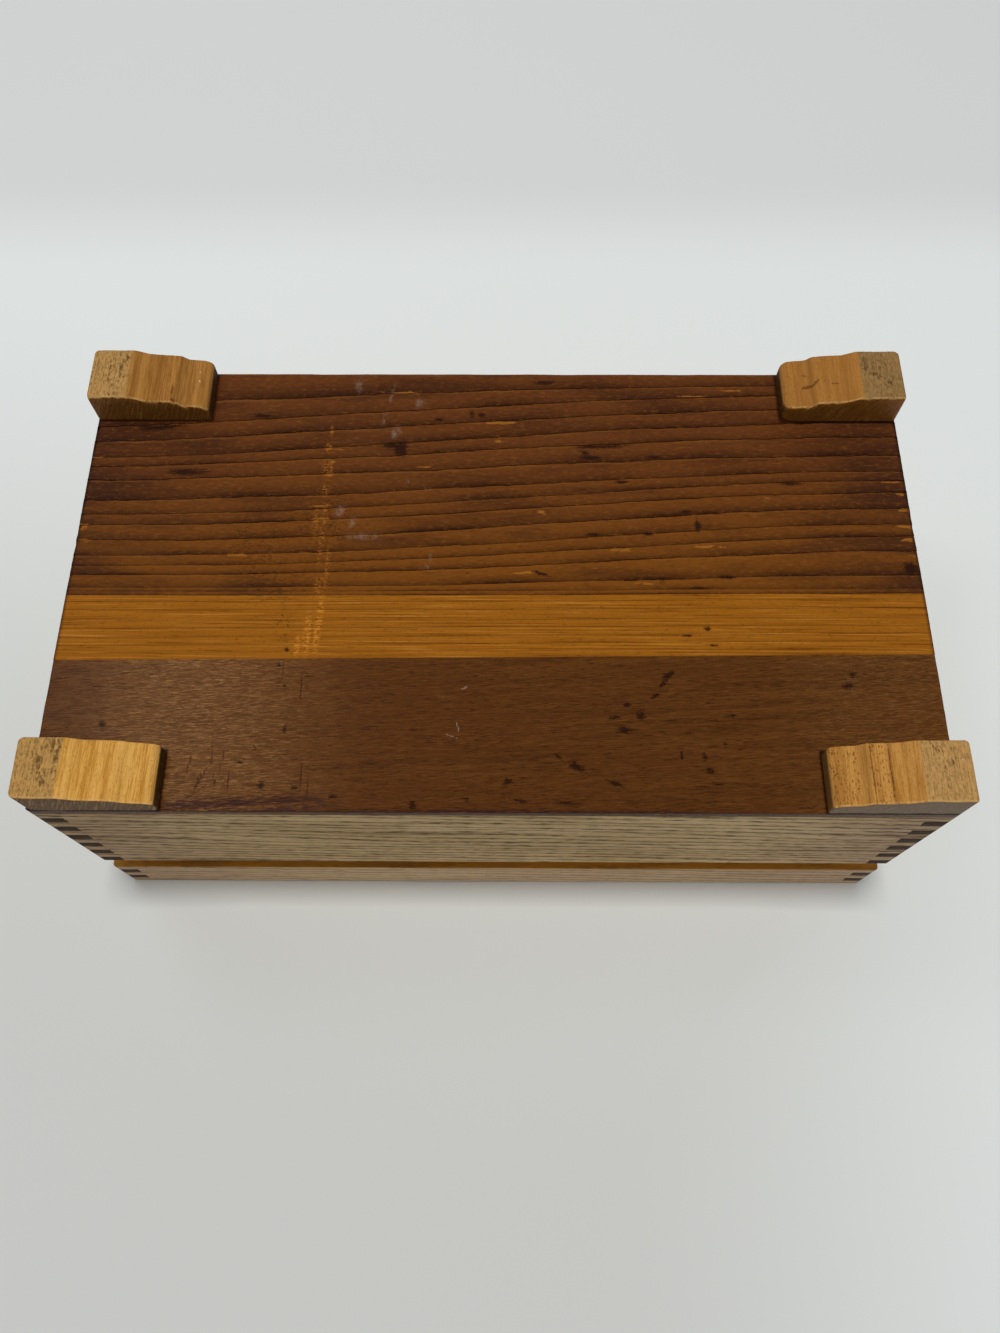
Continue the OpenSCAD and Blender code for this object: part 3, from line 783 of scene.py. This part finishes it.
px = end_spacing(PLAIN_STEP)
glue = glue_line(px)
corner = round_over(HALF_W - np.abs(px), CORNER_R)
share = np.concatenate([EDGE_SHARES, np.linspace(0.026, 1, PLAIN_ROWS)])
run_y = corner[:, None] + share[None, :] * (glue - corner)[:, None]
run_x = px[:, None] * np.ones_like(run_y)
fields = mark_fields(run_x, run_y, stain=DARK_SPOTS, scratch=SCRATCHES, rub=RUBBED, chalk=TICKS)
hollow = worn_edge(run_x, run_y, 0.0, glue[:, None] + PAST_GLUE, 0.45, 11)
hollow = hollow + SMOOTHED_DEPTH * (1 + ripple(run_x, run_y * 8, 30, 12))
hollow = hollow + SCRATCH_DEPTH * ease(fields["scratch"] * 2 - 1) + RUB_DEPTH * fields["rub"]
fields["seam"] = glue_and_contact_shadow(run_x, run_y)
y, z = close_loop(run_y, hollow, BOARD_T, corner, glue, EDGE_POINTS)
x = px[:, None] * np.ones_like(y)
fields = with_edges(fields, EDGE_POINTS)
plain_board = closed_skin("plain_board", x * MM, FRONT_Y + y * MM, BASE_Z + z * MM, fields)

# %% [markdown]
# Its finish is quiet: faint long streaks, fine pores that lie a little askew, and a satin varnish. Fresh
# wood of the same kind makes the lid's panel, so the painted sheen and the traces of use are a function
# of their own, laid over the wood only where a mesh carries the marks. The sheen near the ends is a
# painted highlight, broken up by a fine painted glint along the grain.

# %% Painted sheen and traces of use on the plain board
TILT = (0, 0, -3)


def sheen_and_years_of_use(wood, colour, pore, streak):
    """Painted sheen near the ends, then the rubbed edge, scratches, spots, glue with painted shadow and ticks
    of the mesh.
    """
    speck = wood.noise(along("X", 0.9, 0.7), 3, 0.7)
    glint = wood.noise(along("X", 2.6, 0.2), 2, 0.6, TILT)
    # Painted sheen: lighter wood with glints along the grain towards the +X end, and less towards the -X end.
    at = wood.at("X")
    sheen = wood.times(wood.step(at, 0.035, 0.09), wood.step(at, 0.138, 0.105))
    sheen = wood.most(sheen, wood.times(wood.step(at, -0.08, -0.115), 0.4))
    colour = wood.touch(colour, sheen, 0.2, (120, 80, 40))
    colour = wood.touch(colour, wood.times(sheen, wood.step(glint, 0.5, 0.66)), 0.75, (146, 104, 58))
    torn = wood.plus(pore, wood.sway(streak, 0.8))
    worn = wood.times(wood.step(wood.field("rub"), 0.1, 0.6), wood.step(torn, 0.36, 0.56))
    colour = wood.touch(colour, worn, 0.85, (44, 20, 20))
    colour = wood.touch(colour, ragged(wood, "scratch", speck, 0.6, 0.5), 0.75, (58, 24, 8))
    grit = wood.times(wood.plus(pore, speck), 0.5)
    colour = wood.touch(colour, ragged(wood, "stain", grit, 0.45, 1.5, 0.3), 0.9, (34, 14, 4))
    # Glue and painted contact shadow round the front feet.
    colour = wood.touch(colour, ragged(wood, "seam", grit, 0.5, 0.6, 0.35), 0.9, (28, 6, 2))
    return wood.touch(colour, ragged(wood, "chalk", speck, 0.6, 0.8), 0.35, (170, 150, 130))


print("grain lies", -TILT[2], "degrees askew")


# %% Colour the plain board
def close_grained(name, sheen_and_marks):
    """Dark close-grained wood: faint long streaks, short fine pores, a satin varnish, and a painted sheen and
    marks if asked.
    """
    wood = Finish(name, Specular_IOR_Level=0.13)
    pore = wood.noise(along("X", 3.6, 0.27), 2, 0.6, TILT)
    fleck = wood.noise(along("X", 5, 0.3), 3, 0.65, TILT)
    streak = wood.noise(along("X", 55, 2), 3, 0.6, TILT, 0.5)
    cloud = wood.noise(along("X", 60, 16), 2, 0.5)
    colour = wood.mix(wood.step(streak, 0.3, 0.7), srgb(70, 38, 11), srgb(90, 52, 17))
    colour = wood.mix(wood.step(cloud, 0.35, 0.75), colour, srgb(80, 44, 14))
    colour = wood.touch(colour, wood.step(fleck, 0.5, 0.68), 0.45, (114, 70, 28))
    colour = wood.touch(colour, wood.step(pore, 0.53, 0.64), 0.6, (40, 21, 7))
    if sheen_and_marks:
        colour = sheen_and_years_of_use(wood, colour, pore, streak)
    wood.paint(Base_Color=colour, Roughness=wood.step(pore, -0.5, 2.2), Normal=wood.bump(pore, 0.1, 0.7))
    return wood.material


dress(plain_board, "base_board_front", "body", close_grained("walnut_marked", True))
print("plain board dressed")

# %% [markdown]
# ## Four sawn feet
# Each foot is a block of pale softwood, sawn to a long cove with a step and a rounded toe, and each has
# worn in its own way. One function gives the lower outline, the same sum of eased steps as the model's
# own, and a few numbers per foot set its pad, its score line and how ragged its front edge is. Places
# on a foot count in mm from its outer end and its front; the four corners are radii, outer front and
# back, then inner front and back.

# %% How each foot looks
# Each foot's end colour is painted shade on its end faces: darkest on the foot whose end lies in shadow.
FEET = {
    "foot_front_right": dict(
        seed=21, pad=13.4, step=0.35, toe=2.6, score=0, porous=0.0, ragged=0.05,
        corners=(2.0, 1.8, 0.6, 0.7), spots=0.53,
        pale=(210, 160, 82), deep=(172, 118, 42), grime=(182, 140, 80),
        end=(44, 14, 4), side=(100, 70, 36), saw=(150, 116, 72),
        smudges=[(10.4, 16.6, 1.6, 2.6), (7.2, 11, 1.3, 4, 8), (9.3, 6, 1.4, 2), (12.2, 13, 0.8, 5)],
        cracks=[], specks=[]),
    "foot_front_left": dict(
        seed=22, pad=14.9, step=1.0, toe=2.6, score=23.4, porous=1.0, ragged=0.05,
        corners=(0.8, 1.3, 0.6, 1.0), spots=0.6,
        pale=(184, 133, 66), deep=(154, 104, 44), grime=(186, 144, 86),
        end=(128, 86, 38), side=(122, 100, 74), saw=(132, 109, 83),
        smudges=[(10, 17, 3, 1.6, 20), (6, 12, 3, 1.2, -15)],
        cracks=[(23.4, 9.5, 0.25, 14), (28.6, 9.5, 0.3, 14)], specks=[(2.9, 13, 0.3, 0.3)]),
    "foot_back_right": dict(
        seed=23, pad=13.2, step=0.8, toe=2.9, score=0, porous=0.0, ragged=1.0,
        corners=(0.8, 1.6, 0.8, 1.2), spots=0.54,
        pale=(162, 114, 54), deep=(126, 82, 32), grime=(182, 140, 82),
        end=(66, 34, 12), side=(136, 82, 26), saw=(170, 116, 50),
        smudges=[(10.2, 12, 0.9, 6), (11.8, 17, 0.9, 3), (6.5, 12, 0.3, 9), (7.8, 12, 0.25, 9)],
        cracks=[(28.4, 1.4, 1.4, 0.8), (28, 5, 0.4, 3)],
        specks=[(36, 15, 0.3, 0.5), (36.2, 11, 0.3, 0.6, 20), (37.4, 8, 0.3, 0.6), (38.5, 13.5, 0.3, 0.3)]),
    "foot_back_left": dict(
        seed=24, pad=14.3, step=0.8, toe=2.9, score=0, porous=0.35, ragged=0.8,
        corners=(0.8, 2.0, 4.0, 2.0), spots=0.55,
        pale=(160, 109, 50), deep=(142, 94, 40), grime=(148, 115, 70),
        end=(66, 34, 12), side=(144, 86, 24), saw=(172, 114, 46),
        smudges=[(6.3, 15, 1.8, 1.2), (9, 10, 3, 1.4, 30), (4.6, 7, 1.4, 1.2), (12.6, 14, 0.9, 4)],
        cracks=[(29, 9.3, 2.2, 0.45, -40), (31.8, 8.3, 2.4, 0.8), (32.4, 13.4, 1.3, 0.25, 25),
                (23.1, 8.3, 2.2, 0.3, 5)],
        specks=[]),
}
print(len(FEET), "feet, pads", [look["pad"] for look in FEET.values()], "mm long")

# %% Outline and wear of a foot
FOOT_LEN, FOOT_H = 40.0, BASE_Z / MM
COVE_RISE, SLOPE_RISE, STEP_RISE = 1.5, 2.2, 1.9
COVE_LEN, TOE_LEN = 6, 4
SOFT_AT, SOFT_LEN = 26, 12
CRISP_AT, CRISP_LEN = 29, 3


def foot_outline(s, pad, step, rounding):
    """Height of the lower edge at s mm from the outer end: cove, slope, carved step and rounded toe."""
    cove = COVE_RISE * ease((s - pad) / COVE_LEN)
    slope = SLOPE_RISE * np.maximum(0, (s - pad) / (FOOT_LEN - pad))
    soft, crisp = ease((s - SOFT_AT) / SOFT_LEN), ease((s - CRISP_AT) / CRISP_LEN)
    carved = STEP_RISE * ((1 - step) * soft + step * crisp)
    toe = rounding * (1 - np.sqrt(1 - np.clip((s - FOOT_LEN + TOE_LEN) / TOE_LEN, 0, 1) ** 2))
    return cove + slope + carved + toe


def foot_wear(s, y, front, look):
    """Fields of a foot: bell curves on its front edge and toe, a stepped pad, porous bands, and marks."""
    fields = mark_fields(s, y, smudge=look["smudges"], crack=look["cracks"], speck=look["specks"])
    on_edge = np.exp(-(((y - front[:, None]) / 0.7) ** 2))
    on_toe = np.exp(-(((FOOT_LEN - s) / 0.5) ** 2))
    porous_bands = ease((s - 23.8) / 0.6) * ease((28.4 - s) / 0.5) + ease((s - 31) / 1.5)
    fields["worn"] = on_edge + 0.6 * on_toe
    fields["pad"] = ease((look["pad"] - s) / 0.8 + 0.5)
    fields["porous"] = look["porous"] * porous_bands
    return fields


look = FEET["foot_front_right"]
print("toe lifts by", round(float(foot_outline(FOOT_LEN, look["pad"], look["step"], look["toe"])), 1), "mm")

# %% Round the long edges of a foot
FACE_ROWS, ROUND_POINTS = 38, 5
BACK_EASE = 0.5


def drawn_in(s, outer, inner, swing, seed):
    """How far a long side draws in: quarter-rounds at both ends and a slight swing along it."""
    return round_over(s, outer) + round_over(FOOT_LEN - s, inner) + 0.1 * (1 + ripple(s, 0, swing, seed))


def lower_run(s, front, back, ragged_by, seed):
    """Across the lower face: a chipped quarter-round at the front, a flat, and a quarter-round at the back.
    Gives the run's y and how far it lifts."""
    chipped = ease(0.4 + ripple(s, 0, 4, seed + 50)) + 0.3 * ripple(s, 0, 1.3, seed + 60)
    edge = np.clip(0.35 + ragged_by * chipped, 0.2, 1.7)[:, None]
    turn = np.linspace(0, math.pi / 2, ROUND_POINTS)
    front_y = front[:, None] + edge * (1 - np.cos(turn))
    back_y = back[:, None] - BACK_EASE * (1 - np.cos(turn))[::-1]
    across = np.linspace(0, 1, FACE_ROWS + 2)[1:-1]
    face_y = front_y[:, -1:] + across * (back_y[:, :1] - front_y[:, -1:])
    back_up = BACK_EASE * (1 - np.sin(turn))[::-1] * np.ones((len(s), 1))
    lift = np.hstack([edge * (1 - np.sin(turn)), np.zeros_like(face_y), back_up])
    return np.hstack([front_y, face_y, back_y]), lift


print(FACE_ROWS + 2 * ROUND_POINTS, "points across a foot")

# %% Carve a foot
FOOT_STEPS, SIDE_POINTS = 110, 4
SAW_DEPTH, SCORE_DEPTH, SCORE_WIDTH = 0.05, 0.45, 0.22


def carve_foot(node, look):
    """Loops along the foot: lower runs lifted by the outline, saw ripples and a score, and upright sides."""
    low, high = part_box(node)
    outward = 1 if low.x > 0 else -1
    seed = look["seed"]
    ends = np.array((0, 0.1, 0.3, 0.6, 1, 1.6, 2.3))
    s = np.concatenate([ends, np.linspace(3, FOOT_LEN - 3, FOOT_STEPS), FOOT_LEN - ends[::-1]])
    outer_front, outer_back, inner_front, inner_back = look["corners"]
    front = drawn_in(s, outer_front, inner_front, 13, seed)
    back = (high.y - low.y) / MM - drawn_in(s, outer_back, inner_back, 15, seed + 40)
    run_y, lift = lower_run(s, front, back, look["ragged"], seed)
    run_s = s[:, None] * np.ones_like(run_y)
    sawn = foot_outline(run_s, look["pad"], look["step"], look["toe"]) + lift
    sawn = sawn + round_over(run_s, 0.5) + SAW_DEPTH * (1 + ripple(run_s * 5, run_y * 0.6, 9, seed + 1))
    if look["score"]:
        sawn = sawn + SCORE_DEPTH * np.exp(-(((run_s - look["score"]) / SCORE_WIDTH) ** 2))
    y, z = close_loop(run_y, np.maximum(sawn, 0), FOOT_H, front, back, SIDE_POINTS)
    x = outward * (HALF_W - s[:, None]) * np.ones_like(y)
    order = slice(None, None, -outward)
    fields = with_edges(foot_wear(run_s, run_y, front, look), SIDE_POINTS)
    fields = {key: values[order] for key, values in fields.items()}
    return closed_skin(node + "_sawn", x[order] * MM, low.y + y[order] * MM, z[order] * MM, fields, 40)


feet = {node: carve_foot(node, look) for node, look in FEET.items()}

# %% [markdown]
# The sawn faces show the grain as streaks across the foot, paler where the saw bruised it. Pads that
# have stood on dirty shelves are grey, with dark specks that crowd together where the dirt is worst.
# The upright sides were never cleaned up: they are darker, with slanting saw marks, and mirror a little
# of the table. Their end faces carry painted shade in each foot's end colour, and the frayed front edge
# a painted highlight. The object's own normal tells the faces apart.


# %% Colour the lower face of a foot
def sawn_face(wood, look, streak, pore, dirt):
    """The lower face: streaks and bands, pores, grime on the pad, cracks, frayed edges with a painted
    highlight, pale specks.
    """
    band = wood.noise(along("Y", 90, 2.6), 2, 0.5, (0, 0, 0.6))
    tone = wood.plus(wood.times(streak, 0.5), wood.times(band, 0.5))
    colour = wood.mix(wood.step(tone, 0.38, 0.61), srgb(*look["deep"]), srgb(*look["pale"]))
    pores = wood.step(pore, 0.55, 0.66)
    colour = wood.touch(colour, pores, 0.3, (124, 70, 22))
    colour = wood.touch(colour, wood.times(pores, wood.field("porous")), 0.75, (106, 60, 16))
    soil = wood.plus(wood.times(streak, 0.45), wood.times(dirt, 0.55))
    soiled = wood.shade(srgb(*look["grime"]), wood.step(wood.less(1.0, soil), 0.12, 0.66))
    soiled = wood.touch(soiled, pores, 0.45, (84, 58, 26))
    pad = wood.field("pad")
    colour = wood.mix(wood.times(pad, 0.95), colour, soiled)
    crowd = wood.plus(dirt, wood.times(wood.field("smudge"), 0.2))
    worst = wood.times(wood.step(crowd, look["spots"], look["spots"] + 0.2), pad)
    colour = wood.touch(colour, worst, 0.75, (70, 48, 22))
    colour = wood.touch(colour, ragged(wood, "crack", pore, 0.5, 0.7, 0.2), 0.7, (78, 38, 12))
    # Pale fibres on the frayed front edge and toe, partly a painted highlight along the edge.
    frayed_and_highlit = wood.times(wood.step(wood.field("worn"), 0.2, 0.9), wood.step(dirt, 0.36, 0.58))
    colour = wood.touch(colour, frayed_and_highlit, 0.45, (222, 176, 108))
    return wood.touch(colour, ragged(wood, "speck", pore, 0.6, 0.8, 0.25), 0.6, (220, 204, 178))


print("darkest wood:", min(FEET, key=lambda node: sum(FEET[node]["deep"])))


# %% Colour the sides and dress the feet
def sawn_sides(wood, look, streak, dirt):
    """The upright sides: slanting saw marks on the long ones, painted shade in the end colour on the short
    ones.
    """
    saw = wood.noise((0.55, 30, 9), 2, 0.6, (0, 24, 0))
    side = wood.mix(wood.step(saw, 0.46, 0.68), srgb(*look["side"]), srgb(*look["saw"]))
    side = wood.touch(side, wood.step(dirt, 0.5, 0.72), 0.5, (52, 36, 22))
    # Painted shade: the end faces take on each foot's end colour.
    end = wood.mix(wood.step(streak, 0.4, 0.65), srgb(*look["deep"]), srgb(*look["side"]))
    end = wood.touch(end, wood.step(dirt, 0.1, 0.6), 0.8, look["end"])
    return wood.mix(wood.step(wood.abs(wood.facing("Y")), 0.3, 0.8), end, side)


def sawn_pine(name, look):
    """The lower face where the surface faces up or down, the sides where it stands upright."""
    wood = Finish(name, Specular_IOR_Level=0.3)
    streak = wood.noise(along("Y", 9, 0.4), 3, 0.65, (0, 0, 0.6))
    pore = wood.noise((0.45, 1.1, 0.6), 2, 0.6)
    dirt = wood.noise((0.8, 1.9, 1.4), 4, 0.7)
    upright = wood.step(wood.abs(wood.facing("Z")), 0.5, 0.15)
    face = sawn_face(wood, look, streak, pore, dirt)
    colour = wood.mix(upright, face, sawn_sides(wood, look, streak, dirt))
    rough = wood.less(wood.step(dirt, -1.6, 1.0), wood.times(upright, 0.35))
    wood.paint(Base_Color=colour, Roughness=rough, Normal=wood.bump(wood.plus(streak, pore), 0.12, 0.7))
    return wood.material


for node, look in FEET.items():
    dress(feet[node], node, "body", sawn_pine(node + "_pine", look))
print(len(feet), "feet dressed")

# %% [markdown]
# ## Eased copies of the joinery
# Walls, rails, lining and dividers are right as the model has them, but a knife-sharp edge never catches
# light. A copy of each node is merged, its flat triangles are joined, and its convex edges are rounded
# by a fraction of a millimetre, so each finger of a joint shows as a fine line.

# %% Copy a node with eased edges
MERGE_WITHIN = 0.001 * MM
FLAT_ANGLE, SHARP_ANGLE = math.radians(1), math.radians(30)
SIDES = (("front", "X"), ("back", "X"), ("left", "Y"), ("right", "Y"))


def eased(node, radius, body, material, segments=2):
    """Dresses a copy of a node whose convex edges are rounded by radius mm."""
    work = bmesh.new()
    work.from_mesh(nodes[node].data)
    bmesh.ops.remove_doubles(work, verts=work.verts, dist=MERGE_WITHIN)
    bmesh.ops.dissolve_limit(work, angle_limit=FLAT_ANGLE, verts=work.verts, edges=work.edges)
    sharp = [e for e in work.edges if e.is_manifold and e.is_convex and e.calc_face_angle() > SHARP_ANGLE]
    bmesh.ops.bevel(work, geom=sharp, offset=radius * MM, segments=segments, profile=0.5, affect="EDGES",
                    clamp_overlap=True)
    mesh = bpy.data.meshes.new(node + "_eased")
    work.to_mesh(mesh)
    work.free()
    dress(smooth_piece(node + "_eased", mesh, 40), node, body, material)


print("four sides:", ", ".join(f"{side} along {grain}" for side, grain in SIDES))

# %% [markdown]
# ## Oak
# Ring-porous oak: rows of short dark pores lie along each ring, on honey-brown wood under clear varnish.
# At a flat angle the varnish mirrors the pale table, which is why the front looks greyer than the wood
# is. Where a board's end shows, in the fingers, the open grain has drunk the finish and turned dark. The
# lid's boards are a little warmer, with a painted contact shadow along their outer edge where the lid
# meets the table, and an amber rim on their downward faces, painted brighter to lift the reveal's shade.

# %% Rows of pores along the rings
lid_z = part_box("lid_rail_front")[0].z


def oak_rings(wood, grain, turn):
    """0 in the middle of a ring and 1 where it turns over: the count grows across the grain and wanders."""
    across = "Y" if grain == "X" else "X"
    wander = wood.noise(along(grain, 130, 11), 2, 0.5, turn)
    grown = wood.grains((1000, 14, 4.2) if grain == "X" else (14, 1000, 4.2), turn)
    count = wood.plus(wood.axis(grown, "Z"), wood.axis(grown, across))
    count = wood.calc("FRACT", wood.plus(count, wood.times(wander, 3.0)))
    return wood.times(wood.abs(wood.less(count, 0.5)), 2.0)


def pore_dashes(wood, grain, turn, rings):
    """Fine streaks of noise that pass a level where a ring turns over and a coarser noise lets them."""
    pore = wood.noise(along(grain, 5, 0.26), 1, 0.4, turn)
    broken = wood.noise(along(grain, 12, 1.6), 1, 0.4, turn)
    rows = wood.plus(pore, wood.times(wood.step(rings, 0.42, 0.9), 0.18))
    return wood.step(wood.plus(rows, wood.sway(broken, 0.3)), 0.62, 0.7)


def end_on(wood, grain):
    """1 where the surface cuts across the grain."""
    return wood.step(wood.abs(wood.facing(grain)), 0.6, 0.85)


print("lid starts at", round(lid_z / MM, 1), "mm")


# %% Finish for oak with the grain along one axis
def oak(name, grain):
    """Clouded honey brown under rows of pores, then a painted contact shadow on the lid's edge, dark end
    grain and a brightened amber rim.
    """
    wood = Finish(name, Specular_IOR_Level=0.4, IOR=1.5)
    turn = (0, 3, 0) if grain == "X" else (3, 0, 0)
    fleck = wood.noise(along(grain, 3, 0.3), 2, 0.6, turn)
    cloud = wood.noise((55, 55, 20), 2, 0.5)
    rings = oak_rings(wood, grain, turn)
    height = wood.at("Z")
    on_lid = wood.step(height, lid_z - 5.3 * MM, lid_z + 2.7 * MM)
    dashes = pore_dashes(wood, grain, turn, rings)
    dashes = wood.times(dashes, wood.less(1.0, wood.times(on_lid, 0.35)))
    colour = wood.mix(wood.step(cloud, 0.3, 0.7), srgb(178, 145, 86), srgb(198, 166, 108))
    colour = wood.touch(colour, wood.step(wood.abs(wood.at(grain)), 0.075, 0.13), 0.45, (160, 120, 90))
    colour = wood.touch(colour, on_lid, 0.4, (190, 152, 115))
    colour = wood.touch(colour, wood.step(rings, 0.3, 0.95), 0.25, (118, 84, 42))
    colour = wood.touch(colour, dashes, 0.85, (58, 39, 17))
    colour = wood.touch(colour, wood.step(fleck, 0.54, 0.7), 0.35, (104, 76, 40))
    # Painted contact shadow: a dark band on the upright faces just below the lid's top, where it lies on the
    # table.
    contact_shadow = wood.step(height, cad_high.z - 2.1 * MM, cad_high.z - 0.5 * MM)
    contact_shadow = wood.times(contact_shadow, wood.step(wood.facing("Z"), 0.9, 0.6))
    colour = wood.touch(colour, contact_shadow, 0.55, (74, 54, 40))
    dots = wood.noise((0.8, 0.8, 0.8), 2, 0.6)
    end_grain = wood.mix(wood.step(dots, 0.4, 0.65), srgb(66, 42, 24), srgb(40, 25, 16))
    at_end = end_on(wood, grain)
    colour = wood.mix(at_end, colour, end_grain)
    # Amber rim on the downward faces, painted brighter than the wood to lift the shade in the reveal.
    amber = wood.touch(srgb(208, 140, 20), dashes, 0.5, (116, 66, 12))
    amber = wood.touch(amber, wood.step(cloud, 0.46, 0.6), 0.5, (140, 84, 8))
    colour = wood.mix(wood.times(wood.step(wood.facing("Z"), -0.6, -0.9), 0.9), colour, amber)
    rough = wood.plus(wood.step(fleck, -1.2, 2.2), wood.times(at_end, 0.25))
    rough = wood.most(rough, wood.times(dashes, 0.95))
    dip = wood.less(wood.times(fleck, 0.3), dashes)
    wood.paint(Base_Color=colour, Roughness=rough, Normal=wood.bump(dip, 0.12, 0.5))
    return wood.material


OAK_EASE = 0.22
oak_boards = {"X": oak("oak_long", "X"), "Y": oak("oak_short", "Y")}
for side, grain in SIDES:
    eased(side + "_wall", OAK_EASE, "body", oak_boards[grain])
    eased("lid_rail_" + side, OAK_EASE, "lid", oak_boards[grain])
print("eight oak boards")

# %% [markdown]
# ## Amber lining and the lid's panel
# The strips inside are plain softwood, stained amber and rubbed to a satin. The panel is made of three
# boards: dark wood like the base's front board on either side of an amber one.

# %% Finish for the lining
LINING_EASE, DIVIDER_EASE, PANEL_EASE = 0.35, 0.6, 0.25


def amber_softwood(name, grain):
    """Two ambers mixed by long rings, shaded by fine fibres, and brown where the grain is cut across."""
    wood = Finish(name, Specular_IOR_Level=0.4)
    turn = (0, 1.5, 1.5)
    rings = wood.noise(along(grain, 120, 1.7), 2, 0.5, turn, 0.2)
    fibre = wood.noise(along(grain, 9, 0.3), 2, 0.6, turn)
    colour = wood.mix(wood.step(rings, 0.38, 0.66), srgb(164, 108, 42), srgb(124, 76, 24))
    colour = wood.shade(colour, wood.step(fibre, -0.8, 0.8))
    colour = wood.mix(end_on(wood, grain), colour, srgb(84, 48, 18))
    wood.paint(Base_Color=colour, Roughness=wood.step(fibre, -0.8, 1.4), Normal=wood.bump(fibre, 0.1, 0.5))
    return wood.material


amber = {"X": amber_softwood("amber_long", "X"), "Y": amber_softwood("amber_short", "Y")}
for side, grain in SIDES:
    eased("liner_" + side, LINING_EASE, "body", amber[grain])
    eased("lid_liner_" + side, LINING_EASE, "lid", amber[grain])
for node, grain in (("divider_long", "X"), ("divider_left", "Y"), ("divider_right", "Y")):
    eased(node, DIVIDER_EASE, "body", amber[grain], 3)
dark_panel = close_grained("walnut_panel", False)
eased("lid_board_front", PANEL_EASE, "lid", dark_panel)
eased("lid_board_back", PANEL_EASE, "lid", dark_panel)
eased("lid_board_middle", PANEL_EASE, "lid", amber["X"])
print("lining, dividers and panel")

# %% [markdown]
# ## Felt
# Two sheets of felt are glued in, one on the floor and one in the lid. A sheet is a thin slab with a
# slightly uneven face and soft edges. Its nap is a fine noise and a little sheen.

# %% Cut the felt
FELT_LOOPS, FELT_ROWS = 120, 60
EDGE_DROP, TAPER_MM, SWELL = 0.35, 1.2, 0.06


def felt_sheet(node, seed):
    """Loops across a thin slab: both faces swell by a small ripple, and the edges taper over TAPER_MM."""
    low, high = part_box(node)
    x = np.linspace(low.x, high.x, FELT_LOOPS)[:, None]
    share = np.concatenate([[0, 0.002, 0.006], np.linspace(0.012, 0.988, FELT_ROWS), [0.994, 0.998, 1]])
    y = low.y + share[None, :] * (high.y - low.y) * np.ones_like(x)
    x = x * np.ones_like(y)
    border = np.minimum(np.minimum(x - low.x, high.x - x), np.minimum(y - low.y, high.y - y)) / MM
    soft = (EDGE_DROP * (1 - ease(border / TAPER_MM)) + SWELL * (1 + ripple(x / MM, y / MM, 24, seed))) * MM
    loop_z = np.hstack([low.z + soft, (high.z - soft)[:, ::-1]])
    piece = closed_skin(node + "_sheet", np.hstack([x, x]), np.hstack([y, y[:, ::-1]]), loop_z)
    return piece


def red_felt(name):
    """A fine nap between two reds, paler in worn patches."""
    cloth = Finish(name, Roughness=0.95, Sheen_Weight=0.35, Sheen_Roughness=0.5, Specular_IOR_Level=0.2)
    nap = cloth.noise((0.5, 0.5, 0.5), 4, 0.7)
    worn = cloth.noise((30, 30, 30), 3, 0.55)
    colour = cloth.mix(cloth.step(nap, 0.3, 0.7), srgb(82, 20, 28), srgb(120, 36, 44))
    colour = cloth.touch(colour, cloth.step(worn, 0.5, 0.75), 0.4, (112, 48, 50))
    cloth.paint(Base_Color=colour, Normal=cloth.bump(nap, 0.3, 0.8))
    return cloth.material


felt = red_felt("red_felt")
dress(felt_sheet("floor_felt", 61), "floor_felt", "body", felt)
dress(felt_sheet("lid_felt", 62), "lid_felt", "lid", felt)

# %% [markdown]
# ## Brass hinges
# Leaves, pins and screws keep their CAD shapes, because nothing about them is soft. The brass is brushed
# along the hinge and has dulled unevenly, between a pale and a deep tone.


# %% Finish for the brass
def dull_brass(name, pale, deep):
    """Metal mixed from two tones by tarnish, with fine brush marks along X in its roughness and relief."""
    metal = Finish(name, Metallic=1.0)
    brushed = metal.noise(along("X", 6, 0.12), 2, 0.6)
    tarnish = metal.noise(along("X", 3, 2), 4, 0.65)
    colour = metal.mix(metal.step(tarnish, 0.3, 0.75), srgb(*pale), srgb(*deep))
    rough = metal.plus(metal.step(brushed, -1.0, 2.4), metal.times(tarnish, 0.2))
    metal.paint(Base_Color=colour, Roughness=rough, Normal=metal.bump(brushed, 0.05, 0.4))
    return metal.material


leaf_brass = dull_brass("leaf_brass", (220, 180, 98), (184, 144, 72))
screw_brass = dull_brass("screw_brass", (176, 138, 70), (118, 88, 44))
hinge_nodes = [name for name in nodes if name.startswith("hinge_")]
for name in hinge_nodes:
    nodes[name].data.materials.clear()
    nodes[name].data.materials.append(leaf_brass if "leaf" in name else screw_brass)
print(len(hinge_nodes), "brass nodes")

# %% [markdown]
